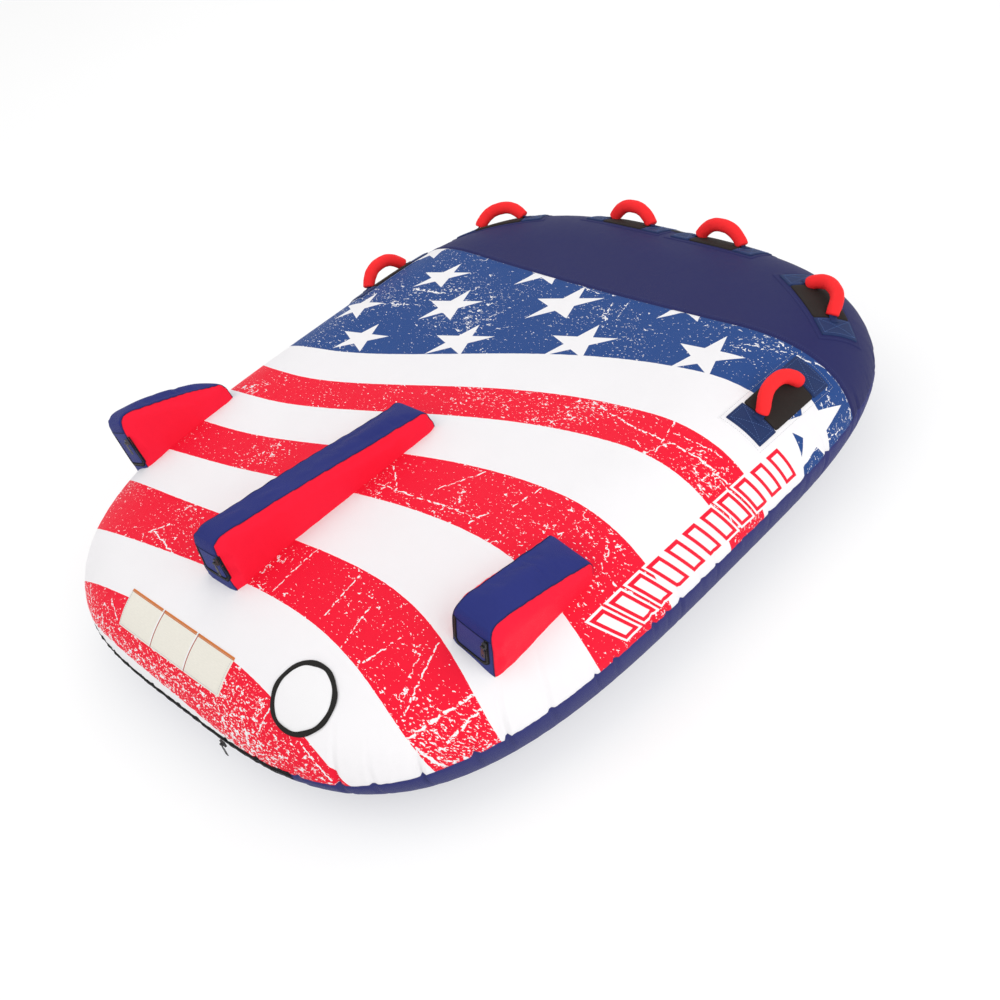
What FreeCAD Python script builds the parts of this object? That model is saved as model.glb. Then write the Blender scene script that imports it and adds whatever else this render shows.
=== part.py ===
import FreeCAD, Part
import functools
import math
import os

# Inflatable towable deck tube. Millimetres, +X to the rider's right, +Y towards the tow point,
# +Z up, origin on the ground under the middle of the whole object.

os.makedirs("parts", exist_ok=True)
Vector = FreeCAD.Vector

# ---- deck ----
half_width = 687.0        # at the widest station
rear_reach = 1001.5       # widest station to the rear edge
front_reach = 698.5       # widest station to the nose
rear_fullness = 3.71      # superellipse exponent behind the widest station
front_fullness = 3.26     # superellipse exponent ahead of it
thickness = 304.3
seam_height = 127.5       # edge seam between the upper and the lower cover
top_curve = (45.5, 0.972, 0.644)     # wall rise, turn scale, flat scale above the seam
bottom_curve = (48.0, 0.915, 0.878)  # the same below it
outline_points = 48
profile_steps = 8

cover_cloth = 1.5
bladder_gap = 1.0
bladder_film = 0.6
nose_seam_reach = 294.3   # seam between print and nose, ahead of the widest station
nose_seam_bow = 24.0      # how far that seam comes forward at the deck's sides
sewn_gap = 0.2            # air between pieces sewn on curved cloth

# ---- handles, right-hand side: reach across, reach ahead of the widest station, heading ----
handle_places = {
    "side": (609.0, 168.0, 90.0),
    "outer": (490.5, 485.7, 146.0),
    "centre": (137.0, 605.2, 180.0),
}
# how far each soft loop leans towards the middle of the deck as it stands, in degrees
handle_leans = {
    "side": {"right": 50.0, "left": 15.0},
    "outer": {"right": -40.0, "left": -25.0},
    "centre": {"right": 10.0, "left": 8.0},
}
foot_spacing = 118.0
foot_lift = 17.5          # hinge line of the loop above the deck
bend_radius = 24.0
sleeve_radius = 13.0
sleeve_bore = 9.5
strap_width = 17.0
strap_thickness = 3.0
strap_end_radius = 12.4
knuckle_length = 127.0
knuckle_width = 85.0
knuckle_foam = 3.0
tab_length = 53.0
tab_width = 88.0
tab_cloth = 2.5
tab_gap = 1.0
patch_cloth = 0.6
patch_margin = 12.0

# ---- leg dividers: centre across, centre ahead of the widest station, length, ridge heights at
# the rear and the front, widths at the base and along the top, lean outward in degrees ----
dividers = {
    "middle": (0.0, -532.4, 553.7, 115.5, 43.7, 97.0, 68.0, 0.0),
    "right": (558.6, -530.5, 268.0, 114.6, 38.9, 88.0, 80.0, 18.0),
    "left": (-558.6, -530.5, 268.0, 114.6, 38.9, 88.0, 80.0, -18.0),
}
side_divider_base = 275.7
divider_depth = 45.0      # how far the wedge is drawn below its base before the deck cuts it
divider_cloth = 1.5
rear_top_round = 26.0
front_top_round = 12.0
end_seam_ratio = 0.62     # height of the seam across the rear end
end_tape = 0.8
end_tape_width = 7.0

# ---- zippers ----
zip_drop = 6.0            # the rear zipper's line below the edge seam
zip_right_end = 350.0
zip_left_end = -369.0
tape_width = 9.0
tape_cloth = 1.0
teeth_width = 4.4
teeth_height = 2.0
cover_slider_x = 165.0
slider_gap = 0.5
slider_plate = 4.0
cheek_inner = 2.3
cheek_outer = 3.8
cheek_reach = 4.0
bar_reach = 2.2
bar_radius = 1.0
eye_bore = 1.2
eye_radius = 1.9
pull_length = 30.0
pull_half_width = 4.0
pull_thickness = 1.4

# ---- valve and its access flap ----
valve_x = 346.0
valve_reach = -893.0
ring_radius = 64.0
binding_width = 12.0
flap_cloth = 1.2
binding_cloth = 2.5
flap_lift = 0.4
flap_hinge_reach = 60.0
flap_hinge_lift = 4.8
cover_hole_radius = 40.0
well_radius = 38.3
well_wall = 1.2
well_floor = 15.0
floor_thickness = 2.0
neck_radius = 22.0
throat_radius = 17.0
throat_depth = 40.0
neck_top = 8.0
cap_top = 4.5
cap_plate = 3.0
cap_radius = 27.0
cap_skirt_depth = 12.5
cap_clearance = 0.4

# ---- label patch on the rear shoulder ----
label_x = -26.0
label_reach = -940.0
label_half_length = 183.5
label_half_height = 39.5
label_cloth = 0.5

# ---- tow point ----
tow_drop = 28.0           # pivot below the edge seam
tow_pivot_reach = 18.0    # pivot ahead of the nose
tow_bar_radius = 8.0
tow_bar_clearance = 0.5
tow_strap_thickness = 3.0
tow_strap_width = 46.0
tow_strap_start = 610.0
block_half_width = 37.0
cheek_width = 12.0
block_drop = 58.0
block_half_depth = 13.0
rope_hole_radius = 12.0
rope_hole_drop = 36.0
loop_top = 12.5           # deepest reach of the sewn loop round the bar

big = 3000.0              # well beyond the object, for cutting shapes

# The widest station sits where the whole object's box is centred on the origin.
rear_projection = teeth_height + slider_gap + slider_plate + cheek_reach
front_projection = tow_pivot_reach + block_half_depth
top_depth = thickness - seam_height
station_y = (rear_reach + rear_projection - front_reach - front_projection) / 2


def outline_radius(angle, across, rear, front):
    """Distance from the widest station to the outline, for a superellipse of these half axes."""
    along, fullness = (front, front_fullness) if math.sin(angle) >= 0 else (rear, rear_fullness)
    total = (abs(math.cos(angle)) / across) ** fullness + (abs(math.sin(angle)) / along) ** fullness
    return total ** (-1 / fullness)


def profile(step, curve, depth):
    """Outline scale and distance from the seam at a step from 0 (seam) to 1 (flat), and the normal."""
    rise, turn, flat = curve
    back = 1 - step
    scale = back ** 3 + 3 * step * back ** 2 + 3 * step ** 2 * back * turn + step ** 3 * flat
    height = 3 * step * back ** 2 * rise + (3 * step ** 2 * back + step ** 3) * depth
    scale_rate = 6 * step * back * (turn - 1) + 3 * step ** 2 * (flat - turn)
    rise_rate = 3 * back ** 2 * rise + 6 * step * back * (depth - rise)
    size = math.hypot(half_width * scale_rate, rise_rate)
    return scale, height, rise_rate / size, -half_width * scale_rate / size


def outline_wire(scale, grow, height):
    """Closed smooth wire: the deck's outline scaled, moved outward by grow, at a height."""
    points = []
    for index in range(outline_points):
        angle = 2 * math.pi * index / outline_points
        reach = outline_radius(
            angle,
            half_width * scale + grow,
            rear_reach * scale + grow,
            front_reach * scale + grow,
        )
        points.append(Vector(reach * math.cos(angle), station_y + reach * math.sin(angle), height))
    curve = Part.BSplineCurve()
    even_steps = [index / outline_points for index in range(outline_points + 1)]
    curve.interpolate(Points=points, PeriodicFlag=True, Parameters=even_steps)
    return Part.Wire([curve.toShape()])


@functools.lru_cache(maxsize=None)
def deck(grow):
    """The whole inflated deck as one solid, its skin moved outward by grow."""
    wires = []
    for index in range(profile_steps, 0, -1):
        scale, height, out, down = profile(index / profile_steps, bottom_curve, seam_height)
        wires.append(outline_wire(scale, grow * out, seam_height - height - grow * down))
    for index in range(profile_steps + 1):
        scale, height, out, up = profile(index / profile_steps, top_curve, top_depth)
        wires.append(outline_wire(scale, grow * out, seam_height + height + grow * up))
    return Part.makeLoft(wires, True, False)


def deck_height(x, y):
    """Height of the deck's top skin at a place inside the outline."""
    reach = y - station_y
    scale = math.hypot(x, reach) / outline_radius(
        math.atan2(reach, x), half_width, rear_reach, front_reach
    )
    low, high = 0.0, 1.0
    for _ in range(50):
        middle = (low + high) / 2
        if profile(middle, top_curve, top_depth)[0] > scale:
            low = middle
        else:
            high = middle
    return seam_height + profile(high, top_curve, top_depth)[1]


def deck_point(x, y):
    return Vector(x, y, deck_height(x, y))


def deck_normal(x, y):
    step = 4.0
    slope_x = (deck_height(x + step, y) - deck_height(x - step, y)) / (2 * step)
    slope_y = (deck_height(x, y + step) - deck_height(x, y - step)) / (2 * step)
    return Vector(-slope_x, -slope_y, 1).normalize()


def placed(shape, frame):
    """A shape drawn in a local frame (origin, three axes), put where that frame is."""
    origin, first, second, third = frame
    matrix = FreeCAD.Matrix(
        first.x, second.x, third.x, origin.x,
        first.y, second.y, third.y, origin.y,
        first.z, second.z, third.z, origin.z,
        0, 0, 0, 1,
    )
    moved = shape.copy()
    moved.Placement = FreeCAD.Placement(matrix).multiply(shape.Placement)
    return moved


def box(low, high):
    return Part.makeBox(high[0] - low[0], high[1] - low[1], high[2] - low[2], Vector(*low))


def cylinder(radius, start, finish):
    axis = finish - start
    return Part.makeCylinder(radius, axis.Length, start, axis)


def prism(corners, direction):
    """Extrude a closed polygon."""
    wire = Part.makePolygon([Vector(*corner) for corner in corners + corners[:1]])
    return Part.Face(wire).extrude(direction)


def layer(cutter, low, high):
    """The part of a cutter that lies between two levels above the deck's skin."""
    return cutter.common(deck(high)).cut(deck(low))


def mirrored(shape):
    return shape.mirror(Vector(0, 0, 0), Vector(1, 0, 0))


def save(name, *shapes):
    """Write one node; a node of several pieces holds them as separate solids."""
    solids = [solid for shape in shapes for solid in shape.Solids]
    shape = solids[0] if len(solids) == 1 else Part.makeCompound(solids)
    shape.exportStep("parts/" + name + ".step")
    sizes = [round(solid.Volume / 1000, 2) for solid in solids]
    print(name, "valid" if shape.isValid() else "BROKEN", "cm3", sizes)


# ---- cover, bladder ----

def ahead_of_nose_seam():
    """Everything ahead of the bowed seam between the print and the nose."""
    seam_y = station_y + nose_seam_reach
    left = Vector(-half_width, seam_y + nose_seam_bow, -1)
    right = Vector(half_width, seam_y + nose_seam_bow, -1)
    bow = Part.Arc(left, Vector(0, seam_y, -1), right).toShape()
    corners = [right, Vector(big, seam_y + nose_seam_bow, -1), Vector(big, big, -1)]
    corners += [Vector(-big, big, -1), Vector(-big, seam_y + nose_seam_bow, -1), left]
    edges = [bow] + [Part.makeLine(a, b) for a, b in zip(corners, corners[1:])]
    return Part.Face(Part.Wire(Part.__sortEdges__(edges))).extrude(Vector(0, 0, big))


def valve_frame():
    """Frame on the rear shoulder: along the deck's edge, uphill, outward."""
    place = deck_point(valve_x, station_y + valve_reach)
    outward = deck_normal(place.x, place.y)
    level = outward.cross(Vector(0, 0, 1)).normalize() * -1
    return place, level, outward.cross(level), outward


def make_cover():
    shell = deck(0.0).cut(deck(-cover_cloth))
    above = box((-big, -big, seam_height), (big, big, big))
    upper = shell.common(above)
    nose_side = ahead_of_nose_seam()
    hole = placed(
        cylinder(cover_hole_radius, Vector(0, 0, -60), Vector(0, 0, 60)), valve_frame()
    )
    save("cover_top_panel", upper.cut(nose_side).cut(hole))
    save("cover_nose_panel", upper.common(nose_side))
    save("cover_bottom_panel", shell.cut(above))


def make_bladder():
    outer = -cover_cloth - bladder_gap
    film = deck(outer).cut(deck(outer - bladder_film))
    hole = placed(cylinder(well_radius, Vector(0, 0, -60), Vector(0, 0, 60)), valve_frame())
    save("air_bladder", film.cut(hole))


# ---- zipper slider and pull, shared by all four zippers ----
def slider(half_across, half_tall):
    """Slider: x along the pull's pivot, y outward from the tape, z up."""
    body = box((-half_across, slider_gap, -half_tall),
               (half_across, slider_gap + slider_plate, half_tall))
    front = slider_gap + slider_plate
    for side in (-1, 1):
        edges = sorted((side * cheek_inner, side * cheek_outer))
        body = body.fuse(box((edges[0], front, -2), (edges[1], front + cheek_reach, 2)))
    bar_y = front + bar_reach
    bar = cylinder(bar_radius, Vector(-cheek_outer, bar_y, 0), Vector(cheek_outer, bar_y, 0))
    return body.fuse(bar).removeSplitter()


def pull():
    """Pull tab hanging from the slider's bar, in the slider's frame."""
    bar_y = slider_gap + slider_plate + bar_reach
    narrow = cheek_inner - 0.4
    eye = cylinder(eye_radius, Vector(-narrow, bar_y, 0), Vector(narrow, bar_y, 0))
    half_thick = pull_thickness / 2
    neck = box((-narrow, bar_y - half_thick, -9), (narrow, bar_y + half_thick, -1))
    blade = box((-pull_half_width, bar_y - half_thick, -pull_length),
                (pull_half_width, bar_y + half_thick, -8.5))
    window = box((-1.8, bar_y - 2, -pull_length + 3), (1.8, bar_y + 2, -pull_length + 9))
    bore = cylinder(eye_bore, Vector(-narrow - 1, bar_y, 0), Vector(narrow + 1, bar_y, 0))
    return eye.fuse(neck).fuse(blade).removeSplitter().cut(bore).cut(window)


def cover_slider_frame():
    """Frame of the rear slider: along its pivot, outward from the edge, up."""
    rear_y = station_y - rear_reach - teeth_height
    origin = Vector(cover_slider_x, rear_y, seam_height - zip_drop)
    return origin, Vector(-1, 0, 0), Vector(0, -1, 0), Vector(0, 0, 1)


def make_cover_zipper():
    line = seam_height - zip_drop
    rear = -big
    half_teeth = teeth_width / 2
    bands = []
    for low, high in ((line + half_teeth, line + tape_width), (line - tape_width, line - half_teeth)):
        bands.append(box((zip_left_end, rear, low), (zip_right_end, station_y, high)))
    tapes = [layer(band, 0.0, tape_cloth) for band in bands]
    save("cover_zipper_tapes", *tapes)
    run = box((zip_left_end, rear, line - half_teeth), (zip_right_end, station_y, line + half_teeth))
    save("cover_zipper_teeth", layer(run, 0.0, teeth_height))
    frame = cover_slider_frame()
    save("cover_zipper_slider", placed(slider(7.0, 6.0), frame))
    save("cover_zipper_pull", placed(pull(), frame))


# ---- handles ----
def handle_frame(name, side):
    """Frame between a handle's feet: along it, towards the deck's middle, away from the deck."""
    across, ahead, heading = handle_places[name]
    if side == "left":
        across, heading = -across, -heading
    along = Vector(math.cos(math.radians(heading)), math.sin(math.radians(heading)), 0)
    centre = Vector(across, station_y + ahead, 0)
    feet = []
    for end in (-1, 1):
        spot = centre + along * (end * foot_spacing / 2)
        feet.append(deck_point(spot.x, spot.y))
    direction = (feet[1] - feet[0]).normalize()
    normal = deck_normal(centre.x, centre.y)
    normal = (normal - direction * normal.dot(direction)).normalize()
    return (feet[0] + feet[1]) * 0.5, direction, normal.cross(direction), normal


def loop_path():
    """Centre line of a handle's loop, from foot to foot, in its frame."""
    half = foot_spacing / 2
    inner = half - bend_radius
    top = foot_lift + bend_radius
    swing = bend_radius * math.sqrt(0.5)
    bends = []
    for side in (-1, 1):
        bends.append(Part.Arc(
            Vector(side * half, 0, foot_lift),
            Vector(side * (inner + swing), 0, foot_lift + swing),
            Vector(side * inner, 0, top),
        ).toShape())
    return Part.Wire([bends[0], Part.makeLine(Vector(-inner, 0, top), Vector(inner, 0, top)), bends[1]])


def tube_on(path, radius):
    start = Vector(-foot_spacing / 2, 0, foot_lift)
    ring = Part.Wire([Part.makeCircle(radius, start, Vector(0, 0, 1))])
    return path.makePipeShell([ring], True, False)


def grip_sleeve():
    path = loop_path()
    return tube_on(path, sleeve_radius).cut(tube_on(path, sleeve_bore))


def grip_webbing():
    half = foot_spacing / 2
    x_half = strap_thickness / 2
    y_half = strap_width / 2
    section = Part.makePolygon([
        Vector(-half - x_half, -y_half, foot_lift),
        Vector(-half + x_half, -y_half, foot_lift),
        Vector(-half + x_half, y_half, foot_lift),
        Vector(-half - x_half, y_half, foot_lift),
        Vector(-half - x_half, -y_half, foot_lift),
    ])
    strap = loop_path().makePipeShell([section], True, False)
    below = box((-half - 5, -20, 0), (half + 5, 20, foot_lift))
    for side in (-1, 1):
        end = cylinder(
            strap_end_radius,
            Vector(side * half - x_half, 0, foot_lift),
            Vector(side * half + x_half, 0, foot_lift),
        )
        strap = strap.fuse(end.common(below))
    return strap.removeSplitter()


def leaned(shape, name, side):
    """Tip a loop about the line through its feet, by the lean it stands at."""
    turned = shape.copy()
    turned.rotate(Vector(0, 0, foot_lift), Vector(1, 0, 0), -handle_leans[name][side])
    return turned


def flat_cutter(frame, along, half_width_across):
    """A tall block over a rectangle of a handle's frame, to cut conforming cloth with."""
    block = box((along[0], -half_width_across, -60), (along[1], half_width_across, 60))
    return placed(block, frame)


def make_handles():
    patches = []
    patch_half = knuckle_length / 2 + tab_gap + tab_length + patch_margin
    base = sewn_gap + patch_cloth
    half = knuckle_length / 2
    for name in handle_places:
        frame = handle_frame(name, "right")
        knuckle = layer(flat_cutter(frame, (-half, half), knuckle_width / 2),
                        base + sewn_gap, base + sewn_gap + knuckle_foam)
        tabs = []
        for end in (-1, 1):
            ends = sorted((end * (half + tab_gap), end * (half + tab_gap + tab_length)))
            tabs.append(layer(flat_cutter(frame, ends, tab_width / 2),
                              base + sewn_gap, base + sewn_gap + tab_cloth))
        patch = layer(flat_cutter(frame, (-patch_half, patch_half), tab_width / 2 + patch_margin),
                      sewn_gap, base)
        patches += [patch, mirrored(patch)]
        save("handle_tabs_" + name, *tabs, *[mirrored(tab) for tab in tabs])
        for side, turn in (("right", lambda shape: shape), ("left", mirrored)):
            frame = handle_frame(name, side)
            save("grip_sleeve_" + name + "_" + side,
                 placed(leaned(grip_sleeve(), name, side), frame))
            save("grip_webbing_" + name + "_" + side,
                 placed(leaned(grip_webbing(), name, side), frame))
            save("knuckle_pad_" + name + "_" + side, turn(knuckle))
    save("handle_patches", *patches)


# ---- leg dividers ----
def divider_frame(sizes):
    across, ahead, lean = sizes[0], sizes[1], math.radians(sizes[7])
    base = thickness if across == 0 else side_divider_base
    first = Vector(math.cos(lean), 0, -math.sin(lean))
    third = Vector(math.sin(lean), 0, math.cos(lean))
    return Vector(across, station_y + ahead, base), first, Vector(0, 1, 0), third


def half_width_at(sizes, height):
    rear_height, base_width, top_width = sizes[3], sizes[5], sizes[6]
    return (base_width - (base_width - top_width) * height / rear_height) / 2


def divider_side_outline(sizes, inset):
    """Side view of a divider: upright rear end, rounded top corner, ridge falling to the front."""
    length, rear_height, front_height = sizes[2], sizes[3] - inset, sizes[4] - inset
    rear = -length / 2 + inset
    front = length / 2 - inset
    corners = [Vector(0, rear, -divider_depth), Vector(0, rear, rear_height),
               Vector(0, front, front_height), Vector(0, front, -divider_depth)]
    face = Part.Face(Part.makePolygon(corners + corners[:1]))
    solid = face.extrude(Vector(200, 0, 0))
    solid.translate(Vector(-100, 0, 0))
    rounds = ((rear, rear_height, rear_top_round - inset), (front, front_height, front_top_round - inset))
    for y, z, radius in rounds:
        corner = [edge for edge in solid.Edges
                  if all(abs(v.Y - y) < 0.01 and abs(v.Z - z) < 0.01 for v in edge.Vertexes)]
        solid = solid.makeFillet(radius, corner)
    return solid


def divider_slab(sizes, inset):
    """Everything between the two slanted side faces, moved in by inset."""
    low, high = -divider_depth, sizes[3] + 10
    low_half = half_width_at(sizes, low) - inset
    high_half = half_width_at(sizes, high) - inset
    reach = sizes[2] / 2 + 20
    corners = [(-low_half, -reach, low), (low_half, -reach, low),
               (high_half, -reach, high), (-high_half, -reach, high)]
    return prism(corners, Vector(0, 2 * reach, 0))


def end_slider_place(sizes):
    """Middle of the slider on the tape at the right-hand edge of the rear end."""
    height = sizes[3] * end_seam_ratio - 9
    x = half_width_at(sizes, height) - divider_cloth - end_tape_width / 2
    return x, -sizes[2] / 2 - end_tape, height


def end_slider_frame(sizes):
    origin, first, second, third = divider_frame(sizes)
    x, y, z = end_slider_place(sizes)
    return origin + first * x + second * y + third * z, first * -1, second * -1, third


def make_divider(name, sizes):
    frame = divider_frame(sizes)
    skin = deck(sewn_gap)
    whole = divider_side_outline(sizes, 0).common(divider_slab(sizes, 0))
    slab = divider_slab(sizes, divider_cloth)
    core = divider_side_outline(sizes, divider_cloth).common(slab)
    save("divider_foam_" + name, placed(core, frame).cut(skin))
    save("divider_sides_" + name, placed(whole.cut(slab), frame).cut(skin))
    strip = whole.common(slab).cut(core)
    rear = -sizes[2] / 2
    seam = sizes[3] * end_seam_ratio
    lower_end = box((-100, rear - 5, -2 * divider_depth), (100, rear + 5, seam))
    save("divider_gusset_" + name, placed(strip.cut(lower_end), frame).cut(skin))
    save("divider_end_" + name, placed(strip.common(lower_end), frame).cut(skin))

    outer = [half_width_at(sizes, z) - divider_cloth for z in (-divider_depth, seam)]
    inner = [half - end_tape_width for half in outer]
    bottom = -divider_depth
    tape = prism([(-outer[0], rear, bottom), (outer[0], rear, bottom),
                  (outer[1], rear, seam), (-outer[1], rear, seam)], Vector(0, -end_tape, 0))
    clear = deck_height(frame[0].x, frame[0].y + rear) - frame[0].z
    window = prism([(-inner[0], rear + 1, clear + end_tape_width + 2),
                    (inner[0], rear + 1, clear + end_tape_width + 2),
                    (inner[1], rear + 1, seam + 1), (-inner[1], rear + 1, seam + 1)],
                   Vector(0, -end_tape - 2, 0))
    save("divider_zipper_" + name, placed(tape.cut(window), frame).cut(skin))
    slider_frame = end_slider_frame(sizes)
    save("divider_slider_" + name, placed(slider(4.2, 7.0), slider_frame))
    save("divider_pull_" + name, placed(pull(), slider_frame))


# ---- valve ----
def ring_cutter(outer, inner):
    """Tube standing on the deck round the valve, in the valve's frame."""
    tube = cylinder(outer, Vector(0, 0, -50), Vector(0, 0, 50))
    if inner:
        tube = tube.cut(cylinder(inner, Vector(0, 0, -51), Vector(0, 0, 51)))
    return tube


def make_valve():
    frame = valve_frame()
    well = cylinder(well_radius, Vector(0, 0, -well_floor), Vector(0, 0, 40))
    well = well.cut(cylinder(well_radius - well_wall, Vector(0, 0, floor_thickness - well_floor),
                             Vector(0, 0, 41)))
    neck = cylinder(neck_radius, Vector(0, 0, -throat_depth), Vector(0, 0, -neck_top))
    throat = cylinder(throat_radius, Vector(0, 0, -throat_depth - 1), Vector(0, 0, 41))
    body = well.fuse(neck).removeSplitter().cut(throat)
    save("valve_body", placed(body, frame).common(deck(-cover_cloth - bladder_gap)))

    cap = cylinder(cap_radius, Vector(0, 0, -cap_skirt_depth), Vector(0, 0, -cap_top))
    hollow = cylinder(neck_radius + cap_clearance, Vector(0, 0, -cap_skirt_depth - 1),
                      Vector(0, 0, -cap_top - cap_plate))
    cap = cap.cut(hollow)
    for side in (-1, 1):
        pocket = cylinder(cap_radius - 4, Vector(0, 0, -cap_top - 1.2), Vector(0, 0, 5))
        ends = sorted((side * 4.0, side * cap_radius))
        cap = cap.cut(pocket.common(box((-cap_radius, ends[0], -20), (cap_radius, ends[1], 20))))
    save("valve_cap", placed(cap, frame))

    outer = ring_radius + binding_width / 2
    inner = ring_radius - binding_width / 2
    gap = sewn_gap
    moving = box((-big, -big, -big), (big, flap_hinge_reach - gap, big))
    sewn = box((-big, flap_hinge_reach + gap, -big), (big, big, big))
    disc = ring_cutter(inner - gap, 0).common(moving)
    ring = ring_cutter(outer, inner).common(moving)
    hem = ring_cutter(outer, inner).common(sewn)
    save("valve_flap", layer(placed(disc, frame), flap_lift, flap_lift + flap_cloth))
    save("valve_flap_binding", layer(placed(ring, frame), flap_lift, flap_lift + binding_cloth))
    save("valve_flap_hem", layer(placed(hem, frame), sewn_gap, flap_lift + binding_cloth))


def flap_hinge():
    """Point on the flap's hinge line and the line's direction."""
    origin, level, uphill, outward = valve_frame()
    spot = origin + uphill * flap_hinge_reach
    above = deck_point(spot.x, spot.y)
    drop = (spot - above).dot(Vector(0, 0, 1)) / outward.z
    return spot - outward * drop + outward * flap_hinge_lift, level


# ---- label ----
def make_label():
    place = deck_point(label_x, station_y + label_reach)
    normal = deck_normal(place.x, place.y)
    level = Vector(1, 0, 0)
    frame = (place, level, normal.cross(level).normalize(), normal)
    block = box((-label_half_length, -label_half_height, -60),
                (label_half_length, label_half_height, 60))
    save("label_patch", layer(placed(block, frame), sewn_gap, sewn_gap + label_cloth))


# ---- tow point ----
def tow_pivot():
    return Vector(0, station_y + front_reach + tow_pivot_reach, seam_height - tow_drop)


def make_tow_point():
    pivot = tow_pivot()
    half_strap = tow_strap_width / 2
    wrap = box((-half_strap, station_y + tow_strap_start, -20), (half_strap, big, pivot.z + 30))
    lining = layer(wrap, sewn_gap, tow_strap_thickness).cut(box((-big, -big, -50), (big, big, 0.5)))
    inner = tow_bar_radius + tow_bar_clearance
    outer = inner + tow_strap_thickness
    start = pivot - Vector(half_strap, 0, 0)
    finish = pivot + Vector(half_strap, 0, 0)
    back = pivot.y - tow_pivot_reach - 10
    loop = cylinder(outer, start, finish)
    for side in (-1, 1):
        levels = sorted((pivot.z + side * inner, pivot.z + side * outer))
        loop = loop.fuse(box((-half_strap, back, levels[0]), (half_strap, pivot.y, levels[1])))
    loop = loop.cut(cylinder(inner, start - Vector(1, 0, 0), finish + Vector(1, 0, 0)))
    gap = box((-half_strap - 1, back - 1, pivot.z - inner), (half_strap + 1, pivot.y, pivot.z + inner))
    loop = loop.cut(gap).cut(deck(tow_strap_thickness + sewn_gap))
    save("tow_webbing", lining, loop)

    cheek_in = block_half_width - cheek_width
    block = box((-block_half_width, pivot.y - block_half_depth, pivot.z - block_drop),
                (block_half_width, pivot.y + block_half_depth, pivot.z))
    rounding = cylinder(block_half_depth, pivot - Vector(block_half_width, 0, 0),
                        pivot + Vector(block_half_width, 0, 0))
    block = block.fuse(rounding).removeSplitter()
    notch = box((-cheek_in, pivot.y - 40, pivot.z - loop_top - 2), (cheek_in, pivot.y + 40, pivot.z + 40))
    block = block.cut(notch)
    bar = cylinder(tow_bar_radius, pivot - Vector(cheek_in + 1, 0, 0), pivot + Vector(cheek_in + 1, 0, 0))
    block = block.fuse(bar).removeSplitter()
    hole_height = pivot.z - rope_hole_drop
    hole = cylinder(rope_hole_radius, Vector(0, pivot.y - 40, hole_height),
                    Vector(0, pivot.y + 40, hole_height))
    save("tow_connector", block.cut(hole))


def print_joints():
    """Where the moving pieces turn."""
    for name in handle_places:
        for side in ("right", "left"):
            origin, along, _, outward = handle_frame(name, side)
            print("handle", name, side, "turns at", origin + outward * foot_lift, "about", -along)
    point, line = flap_hinge()
    print("flap turns at", point, "about", -line)
    print("tow connector turns at", tow_pivot(), "about X")


def main():
    make_cover()
    make_bladder()
    make_cover_zipper()
    make_handles()
    for name, sizes in dividers.items():
        make_divider(name, sizes)
    make_valve()
    make_label()
    make_tow_point()
    print_joints()


main()
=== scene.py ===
import math
from collections import namedtuple

import bmesh
import bpy
import numpy as np
from mathutils import Matrix, Vector
from mathutils.bvhtree import BVHTree


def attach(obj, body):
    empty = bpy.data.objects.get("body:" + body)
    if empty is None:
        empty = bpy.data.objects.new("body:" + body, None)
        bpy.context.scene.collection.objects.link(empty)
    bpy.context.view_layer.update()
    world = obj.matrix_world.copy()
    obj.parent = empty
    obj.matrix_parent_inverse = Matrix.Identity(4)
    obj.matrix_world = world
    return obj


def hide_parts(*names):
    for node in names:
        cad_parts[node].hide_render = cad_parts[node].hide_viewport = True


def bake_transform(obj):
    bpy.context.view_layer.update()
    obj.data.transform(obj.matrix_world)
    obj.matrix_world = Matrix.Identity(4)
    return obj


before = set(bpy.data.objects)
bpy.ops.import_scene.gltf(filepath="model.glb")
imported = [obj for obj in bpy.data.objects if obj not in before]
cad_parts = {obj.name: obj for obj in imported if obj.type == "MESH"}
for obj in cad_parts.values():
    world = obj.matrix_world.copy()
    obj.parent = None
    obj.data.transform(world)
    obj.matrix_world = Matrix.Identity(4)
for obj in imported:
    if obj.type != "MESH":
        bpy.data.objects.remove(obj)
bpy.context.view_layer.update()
scene = bpy.context.scene
rng = np.random.default_rng(7)

# ---- the deck's shape, metres, as in the CAD ----
HALF_WIDTH = 0.687
REAR_REACH = 1.0015
FRONT_REACH = 0.6985
REAR_FULLNESS = 3.71
FRONT_FULLNESS = 3.26
STATION_Y = 0.14125
SEAM_Z = 0.1275
TOP_DEPTH = 0.1768
BOTTOM_DEPTH = 0.1275
TOP_CURVE = (0.0455, 0.972, 0.644)
BOTTOM_CURVE = (0.048, 0.915, 0.878)
TOP_Z = SEAM_Z + TOP_DEPTH
NOSE_SEAM = 0.2943
NOSE_BOW = 0.024


def unit(vectors):
    """Vectors scaled to length 1."""
    return vectors / np.linalg.norm(vectors, axis=-1, keepdims=True)


def headings(line):
    """Unit directions along a line of points."""
    return unit(np.gradient(line, axis=0))


def running(steps):
    """Running total, from 0."""
    return np.concatenate([[0], np.cumsum(steps)])


def polar(distance, angle):
    """Plane places at a distance and an angle from the origin."""
    return np.stack([distance * np.cos(angle), distance * np.sin(angle)], -1)


def outline(angle):
    """Distance from the widest station to the deck's outline."""
    s, c = np.sin(angle), np.cos(angle)
    along = np.where(s >= 0, FRONT_REACH, REAR_REACH)
    full = np.where(s >= 0, FRONT_FULLNESS, REAR_FULLNESS)
    return ((np.abs(c) / HALF_WIDTH) ** full + (np.abs(s) / along) ** full) ** (-1 / full)


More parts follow.
